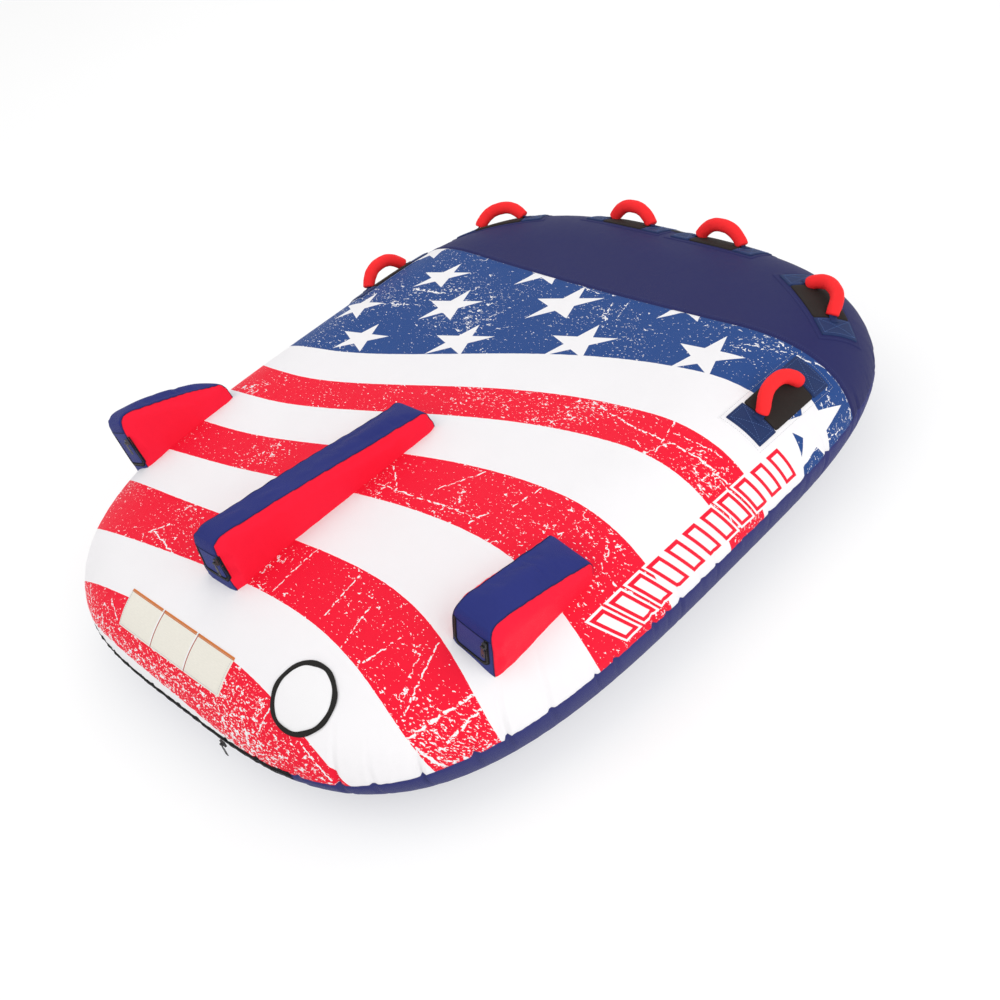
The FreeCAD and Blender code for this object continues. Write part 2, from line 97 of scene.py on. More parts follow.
class Wall:
    """One side of the deck's rounded wall, from the edge seam (step 0) to the flat (step 1)."""

    def __init__(self, curve, depth):
        rise, turn, flat = curve
        t = np.linspace(0, 1, 3001)
        b = 1 - t
        self.scale = b ** 3 + 3 * t * b * b + 3 * t * t * b * turn + t ** 3 * flat
        self.height = 3 * t * b * b * rise + (3 * t * t * b + t ** 3) * depth
        run = -np.diff(self.scale) * HALF_WIDTH
        self.arc = running(np.hypot(run, np.diff(self.height)))
        self.extra = self.arc[-1] - self.arc - (self.scale - flat) * HALF_WIDTH
        self.out = np.gradient(self.height, self.arc)
        self.up = -np.gradient(self.scale * HALF_WIDTH, self.arc)
        self.flat, self.depth = flat, depth
        self.length = self.arc[-1]

    def at(self, arc):
        """Scale, height and the normal's outward and upward parts, at a distance from the seam."""
        values = (self.scale, self.height, self.out, self.up)
        return [np.interp(arc, self.arc, v) for v in values]


TOP = Wall(TOP_CURVE, TOP_DEPTH)
BOTTOM = Wall(BOTTOM_CURVE, BOTTOM_DEPTH)


def ratio(x, y):
    return np.hypot(x, y - STATION_Y) / outline(np.arctan2(y - STATION_Y, x))


def top_height(x, y):
    """Height of the top skin over a place inside the outline."""
    r = np.clip(ratio(x, y), 0, 1)
    wall = np.interp(r, TOP.scale[::-1], TOP.height[::-1])
    return SEAM_Z + np.where(r < TOP.flat, TOP_DEPTH, wall)


def top_normal(p):
    """Outward direction of the top skin near points p."""
    x, y = p[:, 0], p[:, 1]
    e = 1e-4
    gx = ratio(x + e, y) - ratio(x - e, y)
    gy = ratio(x, y + e) - ratio(x, y - e)
    size = np.hypot(gx, gy) + 1e-12
    arc = np.interp(np.clip(p[:, 2] - SEAM_Z, 0, TOP_DEPTH), TOP.height, TOP.arc)
    flat = ratio(x, y) < TOP.flat
    out = np.where(flat, 0, np.interp(arc, TOP.arc, TOP.out))
    up = np.where(flat, 1, np.interp(arc, TOP.arc, TOP.up))
    return unit(np.stack([gx / size * out, gy / size * out, up], 1))


def drop(points, direction, reach=0.08):
    """Points moved along one direction onto the top skin."""
    d = np.asarray(direction, float)
    low = np.full(len(points), -reach)
    high = np.full(len(points), reach)
    for _ in range(26):
        mid = (low + high) / 2
        q = points + mid[:, None] * d
        inside = (ratio(q[:, 0], q[:, 1]) < 1) & (q[:, 2] < top_height(q[:, 0], q[:, 1]))
        low = np.where(inside, mid, low)
        high = np.where(inside, high, mid)
    return points + ((low + high) / 2)[:, None] * d


# ---- smooth seeded noise ----
def wave_noise(seed, u, v, scale, count=10):
    """Sum of random plane waves, about -1 to 1; u and v in metres, scale the size of a bump."""
    r = np.random.default_rng(seed)
    total = np.zeros_like(np.asarray(u, float) + np.asarray(v, float))
    for _ in range(count):
        a = r.uniform(0, 2 * math.pi)
        k = r.uniform(0.7, 1.4) * math.pi / scale
        total += np.sin(k * (u * math.cos(a) + v * math.sin(a)) + r.uniform(0, 2 * math.pi))
    return total / math.sqrt(count) * 0.7


# ---- meshes ----
def mesh_object(name, verts, faces, body, material, smooth=True):
    mesh = bpy.data.meshes.new(name)
    mesh.from_pydata([tuple(v) for v in verts], [], faces)
    mesh.validate()
    return finish_object(name, mesh, body, material, smooth)


def finish_object(name, mesh, body, material, smooth=True):
    for m in (material if isinstance(material, (list, tuple)) else [material]):
        mesh.materials.append(m)
    if smooth:
        mesh.polygons.foreach_set("use_smooth", [True] * len(mesh.polygons))
    mesh.update()
    obj = bpy.data.objects.new(name, mesh)
    scene.collection.objects.link(obj)
    if body:
        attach(obj, body)
    return obj


def grid_faces(rows, columns, closed=False, flip=False):
    """Four-sided faces over rows of points; closed joins each row's end to its start."""
    faces = []
    for i in range(rows - 1):
        here, above = i * columns, (i + 1) * columns
        for j in range(columns if closed else columns - 1):
            k = (j + 1) % columns
            quad = (here + j, here + k, above + k, above + j)
            faces.append(quad[::-1] if flip else quad)
    return faces


def cut_faces(bm, faces, point, normal, dist):
    """Cut only these faces of a mesh by a plane."""
    pieces = dict.fromkeys(faces)
    for f in faces:
        pieces.update(dict.fromkeys([*f.edges, *f.verts]))
    bmesh.ops.bisect_plane(bm, geom=list(pieces), plane_co=point, plane_no=normal, dist=dist)


def cut_all(bm, point, normal, **settings):
    """Cut a whole mesh by a plane."""
    bmesh.ops.bisect_plane(bm, geom=bm.verts[:] + bm.edges[:] + bm.faces[:], dist=1e-6,
                           plane_co=point, plane_no=normal, **settings)


class Bag:
    """Collects many small solids into one mesh."""

    def __init__(self):
        self.verts, self.faces = [], []

    def add(self, verts, faces):
        start = len(self.verts)
        self.verts += [tuple(v) for v in verts]
        self.faces += [tuple(start + i for i in f) for f in faces]

    def tube(self, path, radius, sides, flat=None, closed=False):
        """Sweep a round or flattened section; flat = (normals, factor) squeezes it along them."""
        path = np.asarray(path, float)
        n = len(path)
        radii = np.broadcast_to(radius, (n,))
        ahead = np.roll(path, -1, 0) - np.roll(path, 1, 0)
        if not closed:
            ahead[0], ahead[-1] = path[1] - path[0], path[-1] - path[-2]
        ahead = unit(ahead)
        if flat is None:
            side = np.cross(ahead[0], (0, 0, 1) if abs(ahead[0][2]) < 0.9 else (1, 0, 0))
            across = np.empty_like(ahead)
            for i, a in enumerate(ahead):
                side = unit(side - a * (side @ a))
                across[i] = side
            squeeze = 1.0
        else:
            across = unit(np.cross(ahead, flat[0]))
            squeeze = flat[1]
        lift = np.cross(across, ahead)
        verts = []
        for i in range(n):
            for a in np.arange(sides) * 2 * math.pi / sides:
                offset = across[i] * math.cos(a) + lift[i] * (math.sin(a) * squeeze)
                verts.append(path[i] + offset * radii[i])
        faces = grid_faces(n, sides, True)
        last = (n - 1) * sides
        if closed:
            for j in range(sides):
                k = (j + 1) % sides
                faces.append((last + j, last + k, k, j))
        else:
            faces += [tuple(range(sides))[::-1], tuple(range(last, last + sides))]
        self.add(verts, faces)

    def make(self, name, body, material, slot=None, smooth=True):
        return mesh_object(name, self.verts, self.faces, body, material, smooth)


def resample(points, step, closed=False):
    """Points at even steps along a line."""
    points = np.asarray(points, float)
    if closed:
        points = np.vstack([points, points[:1]])
    along = running(np.linalg.norm(np.diff(points, axis=0), axis=1))
    count = max(2, int(round(along[-1] / step)) + 1)
    at = np.linspace(0, along[-1], count)
    out = np.stack([np.interp(at, along, points[:, i]) for i in range(3)], 1)
    return out[:-1] if closed else out


THREAD_RADIUS = 0.00042
THREAD_GAP = 0.0016
THREAD_STEP = 0.0005


def stitches(bag, line, normals, length, closed=False):
    """A row of short thread runs lying on a surface along a line."""
    line = np.asarray(line, float)
    path = resample(line, THREAD_STEP, closed)
    near = np.array([np.argmin(((line - p) ** 2).sum(1)) for p in path])
    normals = np.asarray(normals)[near]
    pitch = int(round((length + THREAD_GAP) / THREAD_STEP))
    steps = int(round(length / THREAD_STEP))
    for start in range(0, len(path) - steps, pitch):
        part = slice(start, start + steps + 1, 2)
        t = np.linspace(-1, 1, len(path[part]))
        run = path[part] + normals[part] * (THREAD_RADIUS * (0.9 - 1.5 * t[:, None] ** 4))
        bag.tube(run, THREAD_RADIUS * np.sqrt(1.05 - t ** 2 * 0.85), 5)


# ---- materials ----
def math_node(operation):
    """A method that adds one kind of math node."""
    return lambda self, *values: self.math(operation, *values)


class Nodes:
    """Short calls for the nodes of one tree."""

    plus, minus, times = math_node("ADD"), math_node("SUBTRACT"), math_node("MULTIPLY")
    linear, size = math_node("MULTIPLY_ADD"), math_node("ABSOLUTE")
    over, under = math_node("GREATER_THAN"), math_node("LESS_THAN")

    def __init__(self, tree):
        self.tree = tree

    def add(self, kind, **settings):
        node = self.tree.nodes.new(kind)
        for key, value in settings.items():
            setattr(node, key, value)
        return node

    def put(self, socket, value):
        if isinstance(value, bpy.types.NodeSocket):
            self.tree.links.new(value, socket)
        elif isinstance(value, tuple) and len(value) == 3 and socket.type == "RGBA":
            socket.default_value = (*value, 1)
        else:
            socket.default_value = value

    def math(self, operation, *values, clamp=False):
        node = self.add("ShaderNodeMath", operation=operation, use_clamp=clamp)
        for socket, value in zip(node.inputs, values):
            self.put(socket, value)
        return node.outputs[0]

    def vector(self, operation, *values, out=0, scale=None):
        node = self.add("ShaderNodeVectorMath", operation=operation)
        for socket, value in zip(node.inputs, values):
            self.put(socket, value)
        if scale is not None:
            self.put(node.inputs["Scale"], scale)
        return node.outputs[out]

    def mix(self, factor, a, b, kind="MIX"):
        node = self.add("ShaderNodeMix", data_type="RGBA", blend_type=kind)
        self.put(node.inputs[0], factor)
        self.put(node.inputs[6], a)
        self.put(node.inputs[7], b)
        return node.outputs[2]

    def spread(self, value, low, high, to_low=0.0, to_high=1.0):
        node = self.add("ShaderNodeMapRange", clamp=True)
        for socket, v in zip(node.inputs, (value, low, high, to_low, to_high)):
            self.put(socket, v)
        return node.outputs[0]

    def noise(self, vector, scale, detail=2.0, roughness=0.5, distortion=0.0, output=0):
        node = self.add("ShaderNodeTexNoise")
        for key, v in (("Vector", vector), ("Scale", scale), ("Detail", detail),
                       ("Roughness", roughness), ("Distortion", distortion)):
            self.put(node.inputs[key], v)
        return node.outputs[output]

    def stretch(self, vector, scale, turn=0.0, move=(0, 0, 0)):
        node = self.add("ShaderNodeMapping")
        self.put(node.inputs["Vector"], vector)
        node.inputs["Scale"].default_value = scale
        node.inputs["Rotation"].default_value = (0, 0, turn)
        node.inputs["Location"].default_value = move
        return node.outputs[0]

    def parts(self, vector):
        node = self.add("ShaderNodeSeparateXYZ")
        self.put(node.inputs[0], vector)
        return node.outputs

    def grey(self, value):
        node = self.add("ShaderNodeCombineColor")
        for socket in node.inputs:
            self.put(socket, value)
        return node.outputs[0]

    def shaded(self, colour, shade):
        """A colour made lighter or darker by a number near 1."""
        return self.mix(1.0, colour, self.grey(shade), "MULTIPLY")

    def ripple(self, value, pitch):
        """Sine of a length, one wave per pitch."""
        return self.math("SINE", self.linear(value, 2 * math.pi / pitch, 0.0))

    def bump(self, height, distance, strength=1.0, under=None):
        node = self.add("ShaderNodeBump")
        self.put(node.inputs["Height"], height)
        node.inputs["Distance"].default_value = distance
        node.inputs["Strength"].default_value = strength
        if under is not None:
            self.put(node.inputs["Normal"], under)
        return node.outputs[0]

    def weave(self, where, pitch):
        """Crossed threads over a surface in any direction."""
        x, y, z = self.parts(where)
        return self.times(self.ripple(self.plus(x, z), pitch), self.ripple(self.plus(y, z), pitch))

    def on_cloth(self):
        """Place on the flat cloth, as stored with the mesh."""
        return self.add("ShaderNodeAttribute", attribute_name="cloth").outputs["Vector"]


class Shader(Nodes):
    """A material, with the places on its surface as here."""

    def __init__(self, name):
        self.material = bpy.data.materials.new(name)
        self.material.use_nodes = True
        super().__init__(self.material.node_tree)
        self.bsdf = self.tree.nodes["Principled BSDF"]
        self.here = self.add("ShaderNodeTexCoord").outputs["Object"]

    def close(self, colour, roughness, normal=None, specular=0.08):
        self.put(self.bsdf.inputs["Base Color"], colour)
        self.put(self.bsdf.inputs["Roughness"], roughness)
        self.put(self.bsdf.inputs["Specular IOR Level"], specular)
        if normal is not None:
            self.put(self.bsdf.inputs["Normal"], normal)
        return self.material

    def cloth(self, colour, where=None, *, vary, roughness, pitch=0.0011, deep=0.0001, soft=0.0012):
        """Colour variation, weave and soft creases, laid over any colour."""
        where = where or self.here
        patchy = self.noise(where, 7.0, 3.0)
        fibre = self.noise(where, 900.0, 2.0)
        threads = self.weave(where, pitch)
        shade = self.linear(patchy, vary * 2, 1 - vary)
        shade = self.times(shade, self.linear(fibre, 0.08, 0.96))
        shade = self.times(shade, self.linear(threads, 0.035, 1.0))
        folds = self.noise(where, 22.0, 3.0, 0.55)
        normal = self.bump(threads, deep, 0.8, self.bump(folds, soft))
        rough = self.linear(fibre, 0.14, roughness - 0.07)
        return self.close(self.shaded(colour, shade), rough, normal)


RED = (0.86, 0.010, 0.036)
PRINT_WHITE = (0.86, 0.845, 0.86)
STAR_BLUE = (0.022, 0.068, 0.240)
NOSE_NAVY = (0.0225, 0.0245, 0.102)
PAD_NAVY = (0.023, 0.031, 0.170)
TAB_NAVY = (0.015, 0.038, 0.140)

# Edges between the print's stripes, rear to nose: a curve across the deck per edge, as powers
# of the distance from the middle (in units of 700 mm), measured along the flat cloth in mm.
STRIPE_EDGES = [
    (-1066, -45, -20, 0, 0),
    (-921, 26, -98, -96, -96),
    (-789, 70, -90, -122, -21),
    (-662, 94, -42, -141, -37),
    (-508, 158, -71, -137, 29),
    (-373, 220, -78, -161, 67),
    (-234, 264, -74, -166, 78),
    (-127, 274, -97, -178, 109),
    (8, 306, -98, -165, 87),
]
# Stars: middle, then how far the right and the upper points lean, in mm on the flat cloth.
STARS = [
    (-393, -96, 69, 17, -4, 63), (-144, -2, 74, 29, -2, 71), (129, 110, 79, 27, -2, 73),
    (421, 184, 82, 9, -2, 77), (706, 200, 98, 6, 2, 108), (-520, 5, 66, 14, -6, 66),
    (-277, 98, 70, 27, -5, 75), (-12, 216, 81, 34, 0, 79), (277, 328, 80, 22, -2, 76),
    (-402, 189, 65, 24, 3, 65), (-147, 312, 78, 32, -2, 76), (-540, 292, 64, 20, 0, 66),
    (-655, 110, 62, 4, -4, 66), (-675, 400, 60, 8, 0, 64), (-710, -60, 60, -10, -4, 62),
]
# Long scratches worn through the print: two ends and a width, in mm.
SCRATCHES = [
    (300, -42, 450, -73, 2.2), (450, -73, 665, -64, 2.4), (500, -18, 528, -132, 2.0),
    (520, -44, 600, -34, 1.8), (470, -100, 505, -122, 1.6), (205, -405, 262, -312, 2.2),
    (70, -452, 350, -424, 2.2), (340, -442, 352, -404, 2.4), (60, -392, 130, -445, 1.8),
    (385, -366, 398, -300, 1.8), (100, -330, 250, -318, 1.4), (118, -650, 122, -772, 1.6),
    (256, -655, 270, -765, 1.8), (334, -700, 352, -792, 1.6), (434, -720, 410, -792, 2.0),
    (498, -684, 534, -826, 2.0), (604, -724, 560, -862, 3.2), (560, -862, 632, -880, 4.0),
    (628, -742, 616, -850, 3.6), (300, -935, 286, -1040, 2.0), (-300, -806, -262, -762, 2.2),
    (-280, -792, -180, -812, 2.2), (-270, -962, -224, -996, 2.0), (-400, -962, -368, -1002, 2.0),
    (390, -978, 474, -1022, 2.4), (470, 252, 600, 300, 1.6), (600, 300, 636, 326, 2.4),
    (640, 318, 752, 344, 1.8), (742, 150, 752, 300, 2.0), (728, 160, 738, 250, 1.4),
    (96, 262, 126, 196, 1.6), (130, 274, 150, 214, 1.4), (-470, 30, -360, 70, 1.6),
    (-430, 118, -350, 130, 5.0), (-60, 300, 40, 282, 1.8),
]

# The row of bars along the right-hand edge, in mm on the flat cloth.
BAR_START, BAR_PITCH, BAR_COUNT = -480.0, 53.0, 11
BAR_HALF_WIDTH, BAR_HALF_HEIGHT = 10.5, 29.0


def group_tree(name, **inputs):
    """An empty node group with these inputs and one value output."""
    tree = bpy.data.node_groups.new(name, "ShaderNodeTree")
    for key, kind in inputs.items():
        tree.interface.new_socket(key, in_out="INPUT", socket_type="NodeSocket" + kind)
    tree.interface.new_socket("Mask", in_out="OUTPUT", socket_type="NodeSocketFloat")
    nodes = Nodes(tree)
    source = nodes.add("NodeGroupInput").outputs
    sink = nodes.add("NodeGroupOutput").inputs
    return tree, nodes, source, sink


def star_group():
    """1 inside a five-pointed star whose points reach 1 in its own skewed frame."""
    tree, s, i, o = group_tree("star", Place="Vector", Middle="Vector", Row="Vector",
                               Column="Vector")
    away = s.vector("SUBTRACT", i["Place"], i["Middle"])
    x, y = (s.vector("DOT_PRODUCT", away, i[key], out=1) for key in ("Row", "Column"))
    reach = s.math("SQRT", s.plus(s.times(x, x), s.times(y, y)))
    fifth = 2 * math.pi / 5
    folded = s.size(s.math("WRAP", s.math("ARCTAN2", x, y), -fifth / 2, fifth / 2))
    edge = s.times(reach, s.math("COSINE", s.minus(folded, fifth)))
    s.put(o[0], s.under(edge, 0.309))
    return tree


def scratch_group():
    """1 within a width of a straight line between two places."""
    tree, s, i, o = group_tree("scratch", Place="Vector", Start="Vector", Run="Vector",
                               Square="Float", Width="Float")
    away = s.vector("SUBTRACT", i["Place"], i["Start"])
    along = s.vector("DOT_PRODUCT", away, i["Run"], out=1)
    share = s.math("DIVIDE", along, i["Square"], clamp=True)
    nearest = s.vector("SCALE", i["Run"], scale=share)
    gap = s.vector("LENGTH", s.vector("SUBTRACT", away, nearest), out=1)
    s.put(o[0], s.under(gap, i["Width"]))
    return tree


def use_group(s, tree, values):
    node = s.add("ShaderNodeGroup")
    node.node_tree = tree
    for socket, value in zip(node.inputs, values):
        s.put(socket, value)
    return node.outputs[0]


def largest(s, masks):
    total = masks[0]
    for mask in masks[1:]:
        total = s.math("MAXIMUM", total, mask)
    return total


def stripe_masks(s, place):
    """Where the print is red, and where it is the blue field."""
    u, v, _ = s.parts(place)
    u = s.math("DIVIDE", u, 700.0)
    passed = []
    for *powers, edge in STRIPE_EDGES:
        for power in reversed(powers):
            edge = s.linear(edge, u, power)
        passed.append(s.over(v, edge))
    count = passed[0]
    for step in passed[1:]:
        count = s.plus(count, step)
    odd = s.over(s.math("MODULO", count, 2.0), 0.5)
    blue = passed[-1]
    return s.times(odd, s.minus(1.0, blue)), blue


def star_mask(s, place):
    star, masks = star_group(), []
    for x, y, rx, ry, ux, uy in STARS:
        size = rx * uy - ry * ux
        row, column = (uy / size, -ux / size, 0), (-ry / size, rx / size, 0)
        masks.append(use_group(s, star, (place, (x, y, 0), row, column)))
    return largest(s, masks)


def scratch_mask(s, spot, place):
    """The long scratches, broken up along their length."""
    scratch, masks = scratch_group(), []
    for x, y, to_x, to_y, width in SCRATCHES:
        run = (to_x - x, to_y - y, 0)
        square = run[0] ** 2 + run[1] ** 2
        masks.append(use_group(s, scratch, (place, (x, y, 0), run, square, width * 0.85)))
    return s.times(largest(s, masks), s.over(s.noise(spot, 85.0, 3.0, 0.6), 0.455))


def speck_masks(s, spot, across, ahead, ragged):
    """Flecks, dots and fine cracks, crowded at the rear edge and in its right corner."""
    rear = s.spread(ahead, -900.0, -1050.0, 0.0, 0.085)
    corner = s.times(s.spread(across, 520.0, 640.0), s.spread(ahead, -690.0, -800.0, 0.0, 0.07))
    crowd = s.linear(s.noise(spot, 4.5, 2.0), 0.24, s.plus(rear, s.plus(corner, -0.095)))
    flecks = s.noise(s.stretch(spot, (1.0, 1.7, 1.0), 0.5), 62.0, 4.0, 0.62, 0.5)
    dots = s.noise(s.stretch(spot, (1.0, 1.5, 1.0), -0.7, (3, 5, 0)), 150.0, 2.0, 0.5)
    cells = s.add("ShaderNodeTexVoronoi", feature="DISTANCE_TO_EDGE")
    bent = s.vector("ADD", spot, s.vector("SCALE", ragged, scale=0.0045))
    s.put(cells.inputs["Vector"], bent)
    s.put(cells.inputs["Scale"], 7.5)
    cracks = s.under(cells.outputs[0], 0.012)
    cracks = s.times(cracks, s.over(s.noise(spot, 60.0, 2.0), 0.53))
    cracks = s.times(cracks, s.over(s.noise(spot, 5.0, 1.0), 0.55))
    return s.over(s.plus(flecks, crowd), 0.686), s.over(s.plus(dots, crowd), 0.706), cracks


def trim_bars(s, place):
    """A row of slanted bars along the right-hand edge: their fill, outline and halo."""
    x, y, _ = s.parts(place)
    x = s.minus(x, s.linear(y, 0.03, 718.0))
    y = s.minus(s.linear(x, -0.30, y), BAR_START)
    inside = s.minus(s.math("WRAP", y, 0.0, BAR_PITCH), BAR_PITCH / 2)
    half = BAR_PITCH * BAR_COUNT / 2
    ends = s.under(s.minus(s.size(s.minus(y, half)), half), -2.0)
    bars = []
    for grow in (0.0, 8.0, 13.0):
        wide = s.under(s.size(inside), BAR_HALF_WIDTH + grow)
        high = s.under(s.size(x), BAR_HALF_HEIGHT + grow)
        bars.append(s.times(s.times(wide, high), ends))
    return bars


def print_material():
    """The printed top cloth: worn red and white stripes, and a blue field of stars."""
    s = Shader("print_cloth")
    spot = s.on_cloth()
    place = s.vector("SCALE", spot, scale=1000.0)
    ragged = s.vector("SUBTRACT", s.noise(spot, 70.0, 3.0, output="Color"), (0.5, 0.5, 0.5))
    ragged = s.vector("SCALE", ragged, scale=13.0)
    worn = s.vector("ADD", place, ragged)
    nudge = s.vector("ADD", place, s.vector("SCALE", ragged, scale=0.15))
    red, blue = stripe_masks(s, nudge)
    stars = star_mask(s, place)
    lines = scratch_mask(s, spot, worn)
    specks = speck_masks(s, spot, s.parts(place)[0], s.parts(nudge)[1], ragged)
    bare = s.math("MAXIMUM", largest(s, [lines, *specks]), s.times(stars, blue))
    fill, outline_mask, halo = trim_bars(s, place)
    colour = PRINT_WHITE
    for mask, tint in ((red, RED), (blue, STAR_BLUE), (bare, PRINT_WHITE), (halo, PRINT_WHITE),
                       (outline_mask, RED), (fill, PRINT_WHITE)):
        colour = s.mix(mask, colour, tint)
    return s.cloth(colour, spot, pitch=0.0010, deep=0.00012, vary=0.025, roughness=0.5, soft=0.0009)


# ---- the inflated deck ----
COLUMNS = 1040
RIM_ANGLES = np.linspace(0, 2 * math.pi, 20001)
RIM = polar(outline(RIM_ANGLES), RIM_ANGLES)
RIM_LENGTHS = running(np.hypot(*np.diff(RIM, axis=0).T))
PERIMETER = RIM_LENGTHS[-1]


def rim_angle(along):
    """Angle of the place a distance round the edge seam."""
    return np.interp(along, RIM_LENGTHS, RIM_ANGLES)


def bell(value, middle, width):
    return math.exp(-((value - middle) / width) ** 2)


def make_tucks():
    """Places round the edge seam where the cloth folds in: distance, up, down, depth, width."""
    tucks = []
    at = 0.0
    while at < PERIMETER - 0.05:
        angle = rim_angle(at)
        curved = abs(math.sin(2 * angle)) ** 1.5
        right = bell(angle, 5.35, 0.5) + 0.6 * bell(angle, 0.45, 0.35)
        up = rng.uniform(0.012, 0.028) * (1 + curved + right)
        depth = rng.uniform(0.0010, 0.0026) * (0.6 + curved + 1.5 * right)
        tucks.append((at, up, rng.uniform(0.02, 0.07), depth, rng.uniform(0.004, 0.008)))
        at += rng.uniform(0.035, 0.11)
    return tucks


TUCKS = make_tucks()


def from_tuck(along, at, width):
    """Distance along the seam from a tuck, counted in its width."""
    return ((along - at + PERIMETER / 2) % PERIMETER - PERIMETER / 2) / width


def skin_shift(along, away, above):
    """Distance outward that the cloth is moved near the edge seam."""
    total = -0.0016 * np.exp(-(away / 0.0035) ** 2)
    total = total + 0.0007 * wave_noise(3, along * 3.2, away * 0.6, 0.05) * np.exp(-away / 0.07)
    total = total + 0.0005 * wave_noise(4, along * 2.0, away * 0.8, 0.018) * np.exp(-away / 0.03)
    for at, up, down, depth, width in TUCKS:
        q = from_tuck(along, at, width)
        fold = np.where(np.abs(q) < 4, (1 - 1.1 * q * q) * np.exp(-q * q), 0)
        total = total - depth * fold * np.exp(-(away / (up if above else down)) ** 2)
    return total


def seam_lift(along):
    """Height that the edge seam wanders by."""
    lift = 0.0011 * wave_noise(5, along, 0, 0.09)
    for at, _, _, depth, width in TUCKS:
        lift = lift + depth * 1.1 * np.exp(-from_tuck(along, at, width) ** 2)
    return lift


def skin_points(along, away, side):
    """Points on the creased skin: distance round the edge, distance from the edge seam."""
    angle = rim_angle(along % PERIMETER)
    scale, height, out, up = (TOP if side > 0 else BOTTOM).at(away)
    e = 1e-3
    tangent = unit(polar(outline(angle + e), angle + e) - polar(outline(angle - e), angle - e))
    normal = unit(np.stack([tangent[..., 1] * out, -tangent[..., 0] * out, up * side], -1))
    spot = polar(outline(angle) * scale, angle)
    lift = seam_lift(along) * np.exp(-(away / 0.03))
    point = np.stack([spot[..., 0], STATION_Y + spot[..., 1], SEAM_Z + side * height + lift], -1)
    return point + normal * skin_shift(along, away, side > 0)[..., None], normal


def wall_rows(wall, most):
    """Distances from the seam for rows of points, with gaps that grow to the most."""
    rows, gap = [0.0], 0.0014
    while rows[-1] + gap < wall.length:
        rows.append(rows[-1] + gap)
        gap = min(gap * 1.16, most)
    rows[-1] = wall.length
    return np.array(rows)


def deck_grid(wall, side, most, inner):
    """Positions, flat-cloth positions and faces of one half; inner counts steps on the flat."""
    away = wall_rows(wall, most)
    along = np.arange(COLUMNS) * PERIMETER / COLUMNS
    points, _ = skin_points(*np.meshgrid(along, away), side)
    angle = rim_angle(along)
    r = outline(angle)
    scale, extra = (np.interp(away, wall.arc, v)[:, None] for v in (wall.scale, wall.extra))
    rows, cloth = [points], [polar(scale * r + extra, angle)]
    level = SEAM_Z + side * wall.depth
    for share in np.linspace(1, 0, inner + 1)[1:-1]:
        ring = polar(r, angle) * wall.flat * share
        rows.append(np.hstack([ring + (0, STATION_Y), np.full((COLUMNS, 1), level)])[None])
        cloth.append(ring[None])
    points = np.concatenate(rows).reshape(-1, 3)
    cloth = np.concatenate(cloth).reshape(-1, 2)
    middle = len(points)
    last = middle - COLUMNS
    faces = grid_faces(middle // COLUMNS, COLUMNS, True, side < 0)
    for j in range(COLUMNS):
        tri = (last + j, last + (j + 1) % COLUMNS, middle)
        faces.append(tri if side > 0 else tri[::-1])
    points = np.vstack([points, [(0, STATION_Y, level)]])
    return points, np.vstack([cloth, [(0, 0)]]), faces


def cloth_of(points):
    """Place on the flat printed cloth of points on the top skin."""
    x, y = points[:, 0], points[:, 1] - STATION_Y
    r = np.hypot(x, y) + 1e-9
    arc = np.interp(np.clip(points[:, 2] - SEAM_Z, 0, TOP_DEPTH), TOP.height, TOP.arc)
    extra = np.interp(arc, TOP.arc, TOP.extra)
    return np.stack([x * (r + extra) / r, y * (r + extra) / r, 0 * x], 1)


def set_cloth(mesh, coords):
    attribute = mesh.attributes.new("cloth", "FLOAT_VECTOR", "POINT")
    flat = np.zeros((len(mesh.vertices), 3), np.float32)
    flat[:, :coords.shape[1]] = coords
    attribute.data.foreach_set("vector", flat.ravel())


def nose_line(points):
    return points[:, 1] - STATION_Y - NOSE_SEAM - NOSE_BOW * (points[:, 0] / HALF_WIDTH) ** 2


def cut_hole(points, cloth, polygons):
    """Open the cloth over the valve and draw its edge onto a circle."""
    origin, _, _, outward = valve_place()
    away = points - origin
    away = away - (away @ outward)[:, None] * outward
    r = np.linalg.norm(away, axis=1)
    near = (r < OPENING) & (points[:, 1] < 0)
    kept = [p for p in polygons if not all(near[i] for i in p)]
    rim = sorted({i for p in kept for i in p if near[i]})
    spots = origin + away[rim] * (OPENING / r[rim])[:, None]
    points[rim] = drop(spots, outward)
    cloth[rim] = cloth_of(points[rim])
    return kept


